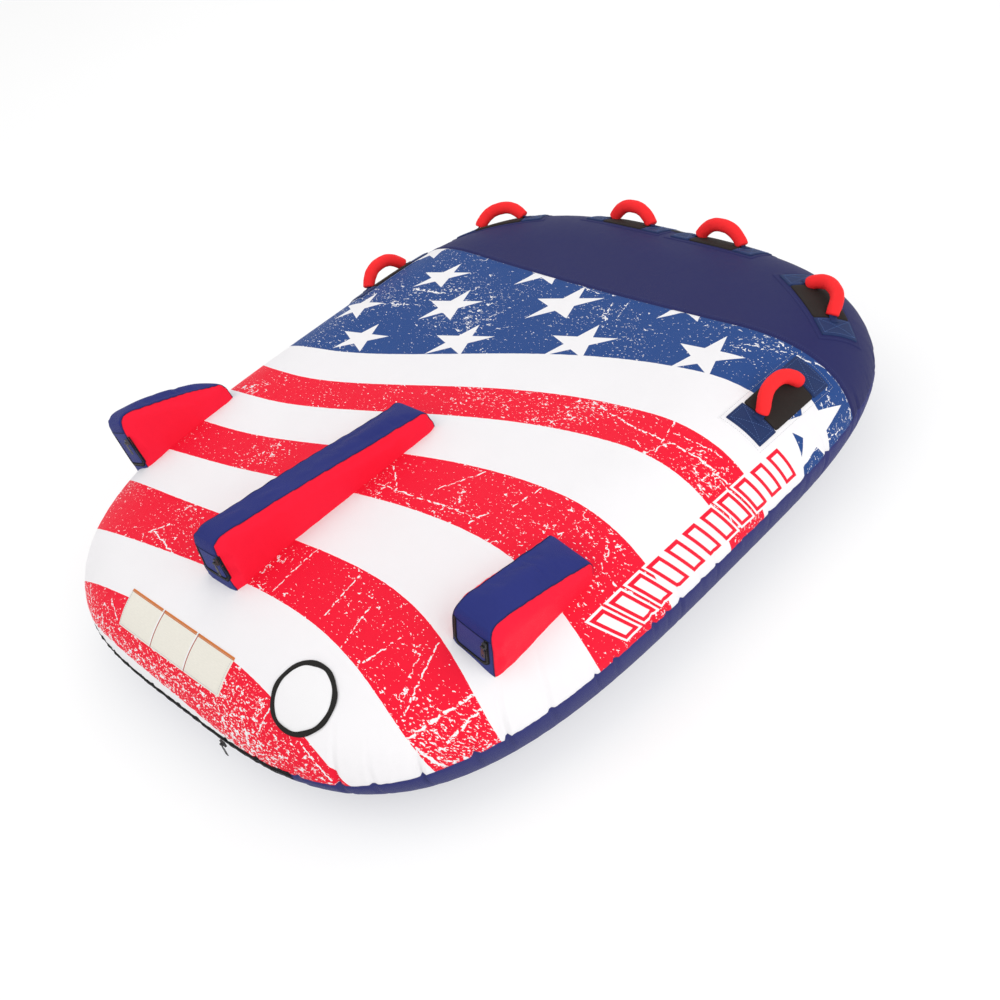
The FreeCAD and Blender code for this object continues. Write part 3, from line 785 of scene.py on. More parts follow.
def make_deck(mats):
    points, cloth, faces = deck_grid(TOP, 1, 0.0085, 26)
    bm = bmesh.new()
    place = bm.verts.layers.float_vector.new("place")
    flat = bm.verts.layers.float_vector.new("flat")
    made = []
    for p, c, k in zip(points, cloth, nose_line(points)):
        vert = bm.verts.new((c[0], k, p[2]))
        vert[place] = p
        vert[flat] = (c[0], c[1], 0)
        made.append(vert)
    for face in faces:
        bm.faces.new([made[i] for i in face])
    for level in (0.0, -0.0022, 0.0022, -0.006, 0.006, -0.011, 0.011):
        near = [f for f in bm.faces
                if min(v.co.y for v in f.verts) < level < max(v.co.y for v in f.verts)]
        cut_faces(bm, near, (0, level, 0), (0, 1, 0), 1e-7)
    bm.verts.index_update()
    key = np.array([v.co.y for v in bm.verts])
    points = np.array([v[place] for v in bm.verts])
    cloth = np.array([v[flat] for v in bm.verts])
    groove = 0.0018 * np.exp(-(key / 0.0030) ** 2)
    ridges = 0.0009 * np.exp(-((np.abs(key) - 0.008) / 0.004) ** 2)
    points = points + top_normal(points) * (ridges - groove)[:, None]
    polygons = [[v.index for v in f.verts] for f in bm.faces]
    bm.free()
    polygons = cut_hole(points, cloth, polygons)
    for name, ahead, finish, slot, node in (
        ("deck_print", False, "print", "print_fabric", "cover_top_panel"),
        ("deck_nose", True, "nose", "navy_fabric", "cover_nose_panel"),
    ):
        chosen = [p for p in polygons if (np.mean(key[p]) > 0) == ahead]
        used = sorted({i for p in chosen for i in p})
        index = {old: new for new, old in enumerate(used)}
        renumbered = [[index[i] for i in p] for p in chosen]
        obj = mesh_object(name, points[used], renumbered, "deck", mats[finish])
        set_cloth(obj.data, cloth[used])
        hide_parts(node)
    points, cloth, faces = deck_grid(BOTTOM, -1, 0.011, 8)
    obj = mesh_object("deck_underside", points, faces, "deck", mats["under"])
    set_cloth(obj.data, cloth)
    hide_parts("cover_bottom_panel", "air_bladder")


# ---- flat pieces sewn on the deck ----
def on_deck(spots, place, lift):
    """Points of a sewn piece: spots are (along, inward) in its frame, laid on the skin."""
    origin, along, inward, outward = place
    flat = origin + spots[:, :1] * along + spots[:, 1:2] * inward
    base = drop(flat, outward)
    normals = top_normal(base)
    return base + normals * np.reshape(lift, (-1, 1)), normals


def plate(place, along, inward, low, high, edge, step, corner, puff=0.0, seed=1):
    """A thin cushion-edged piece of cloth or foam that follows the deck."""
    def lines(start, end):
        inner = np.linspace(start + edge, end - edge, max(3, int((end - start) / step)))
        near = edge * 0.3
        return np.concatenate([[start, start, start + near], inner, [end - near, end, end]])

    us, vs = lines(*along), lines(*inward)
    u, v = np.meshgrid(us, vs, indexing="ij")
    away = np.minimum.reduce([u - along[0], along[1] - u, v - inward[0], inward[1] - v])
    rise = 1 - np.clip(1 - away / edge, 0, 1) ** 2
    lift = low + (high - low) * (0.35 + 0.65 * rise)
    middle = np.clip(away / 0.02, 0, 1)
    lift = lift + puff * middle * (0.6 + 0.4 * wave_noise(seed, u, v, 0.03))
    lift[0] = lift[-1] = low - 0.0004
    lift[:, 0] = lift[:, -1] = low - 0.0004
    cu = np.clip(u, along[0] + corner, along[1] - corner)
    cv = np.clip(v, inward[0] + corner, inward[1] - corner)
    du, dv = u - cu, v - cv
    size = np.maximum(np.hypot(du, dv), 1e-9)
    square = np.maximum(np.abs(du), np.abs(dv))
    u, v = cu + du / size * square, cv + dv / size * square
    spots = np.stack([u.ravel(), v.ravel()], 1)
    points, _ = on_deck(spots, place, lift.ravel())
    faces = grid_faces(len(us), len(vs))
    first, ahead, _, beside = points[list(faces[len(faces) // 2])]
    if np.cross(ahead - first, beside - first) @ place[3] < 0:
        faces = [f[::-1] for f in faces]
    return points, faces, spots


def sewn_line(bag, place, corners, lift, length, closed=True):
    """A stitched line through corners given in a sewn piece's frame."""
    path = resample([(*c, 0.0) for c in corners], 0.002, closed)
    points, normals = on_deck(path[:, :2], place, np.full(len(path), lift))
    stitches(bag, points, normals, length, closed)


def rectangle(half_u, half_v, middle=0.0):
    """Corners of a rectangle, its middle moved along u."""
    return [(middle + i * half_u, j * half_v) for i, j in ((-1, -1), (1, -1), (1, 1), (-1, 1))]


def top_point(x, y):
    return np.array([x, y, float(top_height(np.array([x]), np.array([y]))[0])])


def slope_normal(x, y):
    """Outward direction of the top skin, evened out over a few millimetres."""
    e = 0.004
    gx = (top_point(x + e, y)[2] - top_point(x - e, y)[2]) / (2 * e)
    gy = (top_point(x, y + e)[2] - top_point(x, y - e)[2]) / (2 * e)
    return unit(np.array([-gx, -gy, 1.0]))


# ---- handles: reach across, reach ahead of the widest station, heading and inward leans ----
HANDLES = {
    "side": (0.609, 0.168, 90.0, {"right": 56.0, "left": 15.0}),
    "outer": (0.4905, 0.4857, 146.0, {"right": -40.0, "left": -25.0}),
    "centre": (0.137, 0.6052, 180.0, {"right": 10.0, "left": 8.0}),
}
FOOT = 0.059
GRIP_RADIUS = 0.0158
STRAP_HALF = 0.0092
PAD_HALF = (0.0635, 0.0425)
TAB = (0.0645, 0.1175)
TAB_HALF = 0.044
TAB_MARGIN = (0.006, 0.007)
PATCH_HALF = (0.1295, 0.056)
PATCH_MARGIN = 0.004


def handle_place(name, side):
    """Middle between the feet, and the directions along the grip, inward and outward."""
    across, ahead, heading, _ = HANDLES[name]
    if side == "left":
        across, heading = -across, -heading
    a = math.radians(heading)
    run = np.array([math.cos(a), math.sin(a)])
    middle = np.array([across, STATION_Y + ahead])
    feet = [top_point(*(middle + run * end * FOOT)) for end in (-1, 1)]
    along = unit(feet[1] - feet[0])
    outward = slope_normal(*middle)
    outward = unit(outward - along * (outward @ along))
    return (feet[0] + feet[1]) / 2, along, np.cross(outward, along), outward


def bent_up(place, path, lean):
    """Points of an upright arch (along, height), leaning over more with height."""
    origin, along, inward, outward = place
    steps = np.linspace(0, 0.06, 121)
    angle = np.radians(lean) * np.clip((steps - 0.002) / 0.020, 0, 1) ** 0.8
    over, rise = (running(part(angle[:-1]) * np.diff(steps)) for part in (np.sin, np.cos))
    v, h = np.interp(path[:, 1], steps, over), np.interp(path[:, 1], steps, rise)
    return origin + path[:, :1] * along + v[:, None] * inward + h[:, None] * outward


def hash_of(text):
    return sum(ord(c) * (i + 3) for i, c in enumerate(text))


def make_handle(name, side, mats):
    place = handle_place(name, side)
    origin, _, inward, outward = place
    lean = HANDLES[name][3][side]
    key = f"{name}_{side}"
    t = np.linspace(-1, 1, 81)
    arch = np.stack([0.0615 * t, 0.0065 + 0.0365 * (1 - np.abs(t) ** 2.5)], 1)
    path = resample(bent_up(place, arch, lean), 0.0022)
    share = np.linspace(-1, 1, len(path))
    radius = GRIP_RADIUS * (1 - 0.07 * np.abs(share) ** 6)
    radius = radius + 0.00035 * wave_noise(hash_of(key), share * 0.09, 0, 0.012)
    radius[[0, -1]] *= 0.9
    sleeve = Bag()
    sleeve.tube(path, radius, 28, (np.broadcast_to(inward, path.shape), 0.93))
    sleeve = sleeve.make(f"grip_{key}", None, mats["grip"], "grip_red")
    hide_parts(f"grip_sleeve_{key}")
    strap = Bag()
    for end in (-1, 1):
        run = np.array([(0.080, 0.0046), (0.072, 0.0047), (0.0655, 0.0058), (0.0612, 0.0092),
                        (0.0590, 0.0150), (0.0570, 0.0210)]) * (end, 1)
        base, _ = on_deck(run * (1, 0), place, run[:, 1])
        mixing = np.clip((run[:, 1:2] - 0.0047) / 0.004, 0, 1)
        line = resample(base * (1 - mixing) + bent_up(place, run, lean) * mixing, 0.0015)
        normals = unit(np.cross(np.gradient(line, axis=0), inward))
        strap.tube(line, STRAP_HALF, 16, (normals, 0.16))
    strap = strap.make(f"strap_{key}", None, mats["webbing"], "navy_webbing")
    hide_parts(f"grip_webbing_{key}")
    for piece in (sleeve, strap):
        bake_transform(piece)
    half_u, half_v = PAD_HALF
    points, faces, _ = plate(place, (-half_u, half_u), (-half_v, half_v), 0.001, 0.0042,
                             edge=0.0018, step=0.006, corner=0.006, puff=0.0006, seed=21)
    pad = mesh_object(f"knuckle_{key}", points, faces, "deck", mats["foam"])
    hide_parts(f"knuckle_pad_{key}")
    return place


def make_handles(mats):
    tab_u, tab_v = (TAB[1] - TAB[0]) / 2 - TAB_MARGIN[0], TAB_HALF - TAB_MARGIN[1]
    patch_u, patch_v = PATCH_HALF
    for name in HANDLES:
        printed = name == "side"
        finish, patch_slot = ("print", "print_fabric") if printed else ("nose", "navy_fabric")
        # The pale thread round the white patches is grey: painted shade standing in for the shadow
        # along white-on-white stitching.
        rim = "pale_thread" if printed else "navy_thread"
        rim_slot = "label_cloth" if printed else "navy_webbing"
        tabs, edging, blue = Bag(), Bag(), Bag()
        for side in ("right", "left"):
            place = make_handle(name, side, mats)
            for end in (-1, 1):
                ends = sorted((end * TAB[0], end * TAB[1]))
                points, faces, _ = plate(place, ends, (-TAB_HALF, TAB_HALF), 0.0008, 0.0038,
                                         edge=0.0014, step=0.005, corner=0.002, puff=0.0003,
                                         seed=31)
                tabs.add(points, faces)
                box = rectangle(tab_u, tab_v, (ends[0] + ends[1]) / 2)
                sewn_line(blue, place, box, 0.0040, 0.0036)
                for a, b in ((box[0], box[2]), (box[3], box[1])):
                    sewn_line(blue, place, [a, b], 0.0041, 0.0036, closed=False)
            points, faces, _ = plate(place, (-patch_u, patch_u), (-patch_v, patch_v), 0.0, 0.0009,
                                     edge=0.0008, step=0.006, corner=0.003)
            patch = mesh_object(f"patch_{name}_{side}", points, faces, "deck", mats[finish])
            set_cloth(patch.data, cloth_of(points))
            if name == "side" and side == "right":
                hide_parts("handle_patches")
            edge = rectangle(patch_u - PATCH_MARGIN, patch_v - PATCH_MARGIN)
            sewn_line(edging, place, edge, 0.0010, 0.0034)
        tab = tabs.make(f"tabs_{name}", "deck", mats["webbing"], "navy_webbing")
        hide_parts(f"handle_tabs_{name}")
        blue.make(f"tab_stitches_{name}", "deck", mats["blue_thread"], "navy_webbing")
        edging.make(f"patch_stitches_{name}", "deck", mats[rim], rim_slot)


# ---- leg dividers ----
# Middle of the base across and ahead of the widest station, length, height at the rear and at
# the front, width at the base and at the top, and lean to the right in degrees.
Divider = namedtuple("Divider", "across ahead length rear_height front_height base top lean")
DIVIDERS = {
    "middle": Divider(0.0, -0.5324, 0.5537, 0.1155, 0.0437, 0.097, 0.068, 0.0),
    "right": Divider(0.5586, -0.5305, 0.268, 0.1146, 0.0389, 0.088, 0.080, 18.0),
    "left": Divider(-0.5586, -0.5305, 0.268, 0.1146, 0.0389, 0.088, 0.080, -18.0),
}
# How far the base spreads on its left and on its right.
FLARE = {"middle": (-0.007, 0.0), "right": (-0.006, 0.012), "left": (-0.004, 0.0)}
SIDE_BASE = 0.2757
END_SEAM = 0.62
CLOTH_INSET = 0.0015
SEAM_INSET = 0.0032
WEDGE_DEPTH = 0.045
OPEN_BELOW = -0.040
PIPING_ABOVE = -0.036
PINNED_BELOW = -0.028
SIM_FRAMES = 20
TAPE_INSET = 0.005
# Rows of each half of the tape: distance from the zipper's middle, and height off the cloth.
TAPE_ROWS = ((0.0011, 0.0011), (0.0026, 0.0011), (0.0045, 0.0009), (0.0047, -0.0008))


def divider_matrix(sizes):
    lean = math.radians(sizes.lean)
    base = TOP_Z if sizes.across == 0 else SIDE_BASE
    c, s = math.cos(lean), math.sin(lean)
    return Matrix(((c, 0, s, sizes.across), (0, 1, 0, STATION_Y + sizes.ahead), (-s, 0, c, base),
                   (0, 0, 0, 1)))


def half_at(sizes, z):
    """Half width at a height."""
    return (sizes.base - (sizes.base - sizes.top) * z / sizes.rear_height) / 2


def rounded_side(sizes):
    """Side outline of a wedge: (forward, up) points, with its two top corners rounded."""
    half = sizes.length / 2 - CLOTH_INSET
    rear, front = sizes.rear_height - CLOTH_INSET, sizes.front_height - CLOTH_INSET
    corners = [((-half, -WEDGE_DEPTH), 0), ((-half, rear), 0.034), ((half, front), 0.024),
               ((half, -WEDGE_DEPTH), 0)]
    line = []
    bow = 0.009 if sizes.lean else 0.003
    for i, (spot, radius) in enumerate(corners):
        if not radius:
            line.append(spot)
            continue
        spot = np.array(spot)
        before = unit(np.array(corners[i - 1][0]) - spot)
        after = unit(np.array(corners[i + 1][0]) - spot)
        cut = radius / math.tan(math.acos(before @ after) / 2)
        a, b = spot + before * cut, spot + after * cut
        for t in np.linspace(0, 1, 8):
            line.append(tuple((1 - t) ** 2 * a + 2 * t * (1 - t) * spot + t * t * b))
    line[9:9] = [tuple(p) for p in np.linspace(line[8], line[9], 14)[1:-1]]
    return [(y, z + bow * max(0, 1 - ((y - half * 0.2) / half) ** 2) * (z > 0)) for y, z in line]


def wedge_object(mesh):
    obj = bpy.data.objects.new("wedge", mesh)
    scene.collection.objects.link(obj)
    return obj


def result_of(obj):
    """The mesh that an object's modifiers give; the object goes."""
    graph = bpy.context.evaluated_depsgraph_get()
    mesh = bpy.data.meshes.new_from_object(obj.evaluated_get(graph))
    bpy.data.objects.remove(obj)
    return mesh


def spots_of(mesh):
    return np.array([v.co for v in mesh.vertices])


def remeshed_wedge(sizes):
    """The wedge as a closed form of small even faces, reaching down into the deck."""
    line = rounded_side(sizes)
    count = len(line)
    verts = [(side * (half_at(sizes, z) - CLOTH_INSET), y, z) for side in (-1, 1) for y, z in line]
    faces = [tuple(range(count)), tuple(range(2 * count - 1, count - 1, -1))]
    for i in range(count):
        j = (i + 1) % count
        faces.append((i, i + count, j + count, j))
    mesh = bpy.data.meshes.new("wedge")
    mesh.from_pydata(verts, [], faces)
    obj = wedge_object(mesh)
    remesh = obj.modifiers.new("remesh", "REMESH")
    remesh.mode = "VOXEL"
    remesh.voxel_size = 0.005
    return result_of(obj)


def swelled(mesh, rest, sizes):
    """The wedge's points after a cloth simulation under pressure, with each move limited."""
    obj = wedge_object(mesh)
    pinned = obj.vertex_groups.new(name="pinned")
    pinned.add([i for i, p in enumerate(rest) if p[2] < PINNED_BELOW], 1.0, "REPLACE")
    cloth = obj.modifiers.new("cloth", "CLOTH")
    for key, value in (
        ("use_pressure", True), ("uniform_pressure_force", 4.0), ("vertex_group_mass", "pinned"),
        ("tension_stiffness", 25), ("compression_stiffness", 25), ("bending_stiffness", 1.2),
        ("quality", 4),
    ):
        setattr(cloth.settings, key, value)
    cloth.settings.effector_weights.gravity = 0.0
    cloth.point_cache.frame_start, cloth.point_cache.frame_end = 1, SIM_FRAMES
    for step in range(1, SIM_FRAMES + 1):
        scene.frame_set(step)
    moved = spots_of(result_of(obj)) - rest
    scene.frame_set(1)
    limit = np.where(rest[:, 1] < -sizes.length / 2 + 0.010, 0.0012, 0.0055)
    size = np.linalg.norm(moved, axis=1)
    return rest + moved * (np.minimum(size, limit) / np.maximum(size, 1e-9))[:, None]


def divider_body(name, sizes):
    """The stuffed wedge in its own frame; its unmoved points stay with it, as cut."""
    mesh = remeshed_wedge(sizes)
    rest = spots_of(mesh)
    cut = rest.astype(np.float32)
    rest = swelled(mesh, rest, sizes)
    ends = np.clip(np.abs(rest[:, 1]) / (sizes.length / 2), 0, 1)
    puckers = 0.0007 * wave_noise(hash_of(name), rest[:, 1], rest[:, 2] * 0.4, 0.016) * (0.5 + ends)
    rest[:, 0] += np.sign(rest[:, 0]) * puckers
    height = np.clip(rest[:, 2] / sizes.rear_height, 0, 1)
    rise = np.clip(2 * height - 1, 0, 1)
    low = 1 - rise * rise * (3 - 2 * rise)
    for side, flare in zip((-1, 1), FLARE[name]):
        rest[:, 0] += np.clip(side * rest[:, 0] / (sizes.base / 2), 0, 1) * low * flare
    if name == "left":
        rest[:, 0] -= 0.011 * height ** 3
        rest[:, 2] += 0.020 * height
    mesh.vertices.foreach_set("co", rest.astype(np.float32).ravel())
    mesh.attributes.new("cut", "FLOAT_VECTOR", "POINT").data.foreach_set("vector", cut.ravel())
    obj = wedge_object(mesh)
    obj.modifiers.new("smooth", "SMOOTH").iterations = 2
    obj.modifiers.new("finer", "SUBSURF").levels = 1
    return result_of(obj)


def seam_chains(bm):
    """Lines of vertices along the edges between two cloths."""
    seam = dict.fromkeys(e for e in bm.edges if len({f.material_index for f in e.link_faces}) > 1)
    chains = []
    while seam:
        ends = [v for e in seam for v in e.verts if sum(x in seam for x in v.link_edges) != 2]
        vert = ends[0] if ends else next(iter(seam)).verts[0]
        chain = [vert]
        while True:
            following = next((e for e in vert.link_edges if e in seam), None)
            if following is None:
                break
            del seam[following]
            vert = following.other_vert(vert)
            chain.append(vert)
        chains.append(chain)
    return chains


def divide_cloths(bm, sizes):
    """Cut the stuffed form along its seams, as it was before it swelled, and colour it."""
    rear, seam_z = -sizes.length / 2, sizes.rear_height * END_SEAM
    slope = (sizes.base - sizes.top) / sizes.rear_height / 2
    cut = bm.verts.layers.float_vector["cut"]
    shape = bm.verts.layers.float_vector.new("shape")
    for v in bm.verts:
        v[shape] = v.co
        v.co = v[cut]
    for side in (-1, 1):
        seam_at = (side * (sizes.base / 2 - SEAM_INSET), 0, 0)
        cut_all(bm, seam_at, Vector((side, 0, slope)).normalized())
    rear_end = [f for f in bm.faces if f.calc_center_median().y < rear + 0.03]
    cut_faces(bm, rear_end, (0, 0, seam_z), (0, 0, 1), 1e-6)
    for f in bm.faces:
        c = f.calc_center_median()
        if abs(c.x) > half_at(sizes, c.z) - SEAM_INSET:
            f.material_index = 0
        elif c.y < rear + 0.012 and c.z < seam_z:
            f.material_index = 2
        else:
            f.material_index = 1
        f.smooth = True
    for v in bm.verts:
        v.co = v[shape]
    bm.normal_update()


def divider_piping(bm):
    """A thin cord along each seam, which is drawn in a little."""
    welt = Bag()
    for chain in [c for c in seam_chains(bm) if len(c) > 8]:
        line = np.array([v.co + v.normal * 0.0002 for v in chain if v.co.z > PIPING_ABOVE])
        if len(line) > 4:
            for _ in range(3):
                line[1:-1] = line[1:-1] * 0.5 + (line[:-2] + line[2:]) * 0.25
            welt.tube(resample(line, 0.003), 0.0009, 6)
        for v in chain:
            v.co -= v.normal * 0.0009
    return welt


def zipper_route(name, sizes):
    """(across, 0, up) points down one side of the rear end, along its foot and up again."""
    seam_z = sizes.rear_height * END_SEAM
    low = 0.012 if name == "middle" else -0.002
    left = [(-(half_at(sizes, z) - TAPE_INSET), z) for z in np.linspace(seam_z, low + 0.008, 14)]
    foot = [(-(half_at(sizes, low) - TAPE_INSET) + d, low + 0.008 - d)
            for d in np.linspace(0.002, 0.008, 4)]
    turn = foot[3::-1]
    foot += [(x, low) for x in np.linspace(foot[-1][0] + 0.004, -foot[-1][0] - 0.004, 14)]
    right = [(-x, z) for x, z in turn + left[::-1]]
    return resample([(x, 0, z) for x, z in left + foot + right], 0.0026)


def divider_zipper(name, sizes, tree, mats, matrix):
    rear = -sizes.length / 2

    def stick(x, z, lift):
        """A place this far behind the rear end's cloth."""
        hit = tree.ray_cast(Vector((x, rear - 0.05, z)), Vector((0, 1, 0)))
        y = min(hit[0].y, rear + 0.006) if hit[0] is not None else rear
        return (x, y - lift, z)

    route = zipper_route(name, sizes)
    tape, teeth = Bag(), Bag()
    ahead = headings(route)
    across = np.stack([ahead[:, 2], 0 * ahead[:, 0], -ahead[:, 0]], 1)
    for sign in (-1, 1):
        rows = []
        for offset, lift in TAPE_ROWS:
            line = route + across * (sign * offset)
            rows += [stick(x, z, lift) for x, _, z in line]
        tape.add(rows, grid_faces(4, len(route), flip=sign > 0))
    for i, (p, a, c) in enumerate(zip(route, ahead, across)):
        spot = np.array(stick(p[0], p[2], 0.0010)) + c * (0.0006 if i % 2 else -0.0006)
        block(teeth, spot, a * 0.0009, c * 0.0013, np.array([0, -0.0006, 0]))
    tape = tape.make(f"divider_tape_{name}", "deck", mats["tape"], "zipper_tape")
    teeth = teeth.make(f"divider_teeth_{name}", "deck", mats["coil"], "zipper_coil", False)
    for piece in (tape, teeth):
        piece.data.transform(matrix)
    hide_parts(f"divider_zipper_{name}")


def make_divider(name, sizes, mats):
    mesh = divider_body(name, sizes)
    bm = bmesh.new()
    bm.from_mesh(mesh)
    divide_cloths(bm, sizes)
    welt = divider_piping(bm)
    cut_all(bm, (0, 0, OPEN_BELOW), (0, 0, 1), clear_inner=True)
    bm.to_mesh(mesh)
    tree = BVHTree.FromBMesh(bm)
    bm.free()
    matrix = divider_matrix(sizes)
    mesh.transform(matrix)
    body = finish_object(f"divider_{name}", mesh, "deck",
                         [mats["pad_red"], mats["pad_navy"], mats["pad_end"]])
    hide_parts(*(f"divider_{part}_{name}" for part in ("foam", "sides", "gusset", "end")))
    piping = welt.make(f"divider_piping_{name}", "deck", mats["piping"], "divider_navy")
    piping.data.transform(matrix)
    divider_zipper(name, sizes, tree, mats, matrix)


def block(bag, middle, a, b, c):
    """A small box that narrows in its top third; half sizes as vectors."""
    verts = []
    for k, shrink in ((-1, 1.0), (0.4, 1.0), (1, 0.6)):
        for i, j in ((-1, -1), (1, -1), (1, 1), (-1, 1)):
            verts.append(middle + a * i * shrink + b * j * shrink + c * k)
    bag.add(verts, grid_faces(3, 4, True) + [(3, 2, 1, 0), (8, 9, 10, 11)])


# ---- zipper at the rear edge ----
ZIPPER_ENDS = (-0.369, 0.350)
TOOTH_PITCH = 0.0027
# Rows of each tape: signed distance from the edge seam, and height off the cloth.
UPPER_TAPE = ((0.0056, -0.0004), (0.0052, 0.0011), (0.0015, 0.0013), (-0.0016, 0.0014),
              (-0.0040, 0.0016))
LOWER_TAPE = ((-0.0080, 0.0016), (-0.0100, 0.0014), (-0.0128, 0.0013), (-0.0150, 0.0011),
              (-0.0152, -0.0004))


def make_rear_zipper(mats):
    rear = (RIM_ANGLES > math.pi) & (RIM_ANGLES < 2 * math.pi)
    start, end = np.interp(ZIPPER_ENDS, RIM[rear, 0], RIM_LENGTHS[rear])
    along = np.arange(start, end, TOOTH_PITCH)
    wander = 1 + 0.35 * wave_noise(8, along, 0, 0.03) + 0.2 * wave_noise(9, along, 0, 0.008)

    def at(offset, lift):
        """Points at a signed distance from the edge seam, above or below it."""
        above = offset > 0
        away = np.abs(offset * (wander if above else 1))
        point, normal = skin_points(along, np.broadcast_to(away, along.shape), 1 if above else -1)
        return point + normal * lift

    tape = Bag()
    for rows in (UPPER_TAPE, LOWER_TAPE):
        points = np.concatenate([at(*row) for row in rows])
        tape.add(points, grid_faces(len(rows), len(along), flip=True))
    piece = tape.make("rear_zipper_tape", "deck", mats["tape"], "zipper_tape")
    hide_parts("cover_zipper_tapes")
    teeth = Bag()
    centre = at(-0.0060, 0.0012)
    down = unit(at(-0.0080, 0.0012) - centre)
    for i, (p, a, d) in enumerate(zip(centre, headings(centre), down)):
        out = np.cross(a, d)
        out *= 1 if out[1] * p[1] > 0 else -1
        offset = 0.0007 if i % 2 else -0.0007
        block(teeth, p + d * offset, a * 0.0009, d * 0.0016, out * 0.0008)
    piece = teeth.make("rear_zipper_teeth", "deck", mats["coil"], "zipper_coil", False)
    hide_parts("cover_zipper_teeth")


# ---- access flap over the valve ----
VALVE_X, VALVE_REACH, RING = 0.346, -0.893, 0.064
OPENING = 0.040
HEM_RADIUS = 0.0405
FLAP_SIDES = 96


def valve_place():
    """Middle of the valve, and the directions level, uphill and outward."""
    origin = top_point(VALVE_X, STATION_Y + VALVE_REACH)
    outward = slope_normal(origin[0], origin[1])
    level = unit(np.cross((0, 0, 1), outward))
    return origin, level, np.cross(outward, level), outward


def ring_radius(turn):
    """The binding ring, a little out of round."""
    wander = 0.0011 * np.sin(2 * turn + 0.6) + 0.0008 * np.sin(3 * turn + 2.0)
    return RING + wander + 0.0004 * np.sin(7 * turn)


def make_flap(mats):
    place = valve_place()
    turn = np.linspace(0, 2 * math.pi, FLAP_SIDES + 1)[:-1]
    shares = (0.02, 0.12, 0.25, 0.4, 0.55, 0.68, 0.79, 0.87, 0.93, 0.975, 1.0)
    spots, lift = [], []
    for share in shares:
        spots.append(polar((ring_radius(turn) - 0.0025) * share, turn))
        creases = 0.0005 * wave_noise(12, turn * 0.06, 0, 0.012) * share ** 4
        lift.append(0.0016 + 0.0018 * (1 - share ** 3) + creases)
    points, _ = on_deck(np.concatenate(spots), place, np.concatenate(lift))
    faces = grid_faces(len(shares), FLAP_SIDES, True) + [tuple(range(FLAP_SIDES))[::-1]]
    disc = mesh_object("flap", points, faces, None, mats["flap"])
    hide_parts("valve_flap")
    centre, normals = on_deck(polar(ring_radius(turn), turn), place,
                              0.0021 + 0.0004 * np.sin(5 * turn))
    ring = Bag()
    wide = 0.0051 + 0.0004 * np.sin(9 * turn) + 0.0003 * np.sin(4 * turn + 1)
    ring.tube(centre, wide, 14, (normals, 0.36), closed=True)
    ring = ring.make("flap_binding", None, mats["binding"], "binding_black")
    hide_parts("valve_flap_binding", "valve_flap_hem")
    for piece in (disc, ring):
        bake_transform(piece)
    rim, normals = on_deck(polar(HEM_RADIUS, turn), place, 0.0002)
    hem = Bag()
    hem.tube(rim, 0.0016, 8, (normals, 0.6), closed=True)
    hem.make("valve_opening_hem", "deck", mats["binding"], "binding_black")


# ---- label ----
LABEL_X, LABEL_REACH = -0.026, -0.940
LABEL_HALF = (0.1835, 0.0395)
LABEL_MARGIN = 0.004


def make_label(mats):
    origin = top_point(LABEL_X, STATION_Y + LABEL_REACH)
    outward = slope_normal(origin[0], origin[1])
    level = np.array([1.0, 0, 0])
    place = (origin, level, unit(np.cross(outward, level)), outward)
    half_u, half_v = LABEL_HALF
    points, faces, spots = plate(place, (-half_u, half_u), (-half_v, half_v), 0.0004, 0.0011,
                                 edge=0.0008, step=0.0035, corner=0.002, puff=0.0004, seed=44)
    label = mesh_object("label", points, faces, "deck", mats["label"])
    set_cloth(label.data, spots)
    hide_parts("label_patch")
    thread = Bag()
    edge = rectangle(half_u - LABEL_MARGIN, half_v - LABEL_MARGIN)
    sewn_line(thread, place, edge, 0.0015, 0.003)
    thread.make("label_stitches", "deck", mats["pale_thread"], "label_cloth")


def make_nose_stitches(mats):
    x = np.linspace(-0.655, 0.655, 500)
    y = STATION_Y + NOSE_SEAM + NOSE_BOW * (x / HALF_WIDTH) ** 2
    bag = Bag()
    for offset in (0.0062, 0.0105):
        points = np.stack([x, y + offset, top_height(x, y + offset)], 1)
        normals = top_normal(points)
        stitches(bag, points + normals * 0.0004, normals, 0.0038)
    bag.make("nose_seam_stitches", "deck", mats["navy_thread"], "navy_webbing")


# ---- tow point at the nose ----
TOW_STRAP_HALF = 0.023
TOW_STRAP_START = 0.610
TOW_LOOP = 0.010
TOW_PIVOT = (STATION_Y + FRONT_REACH + 0.018, SEAM_Z - 0.028)


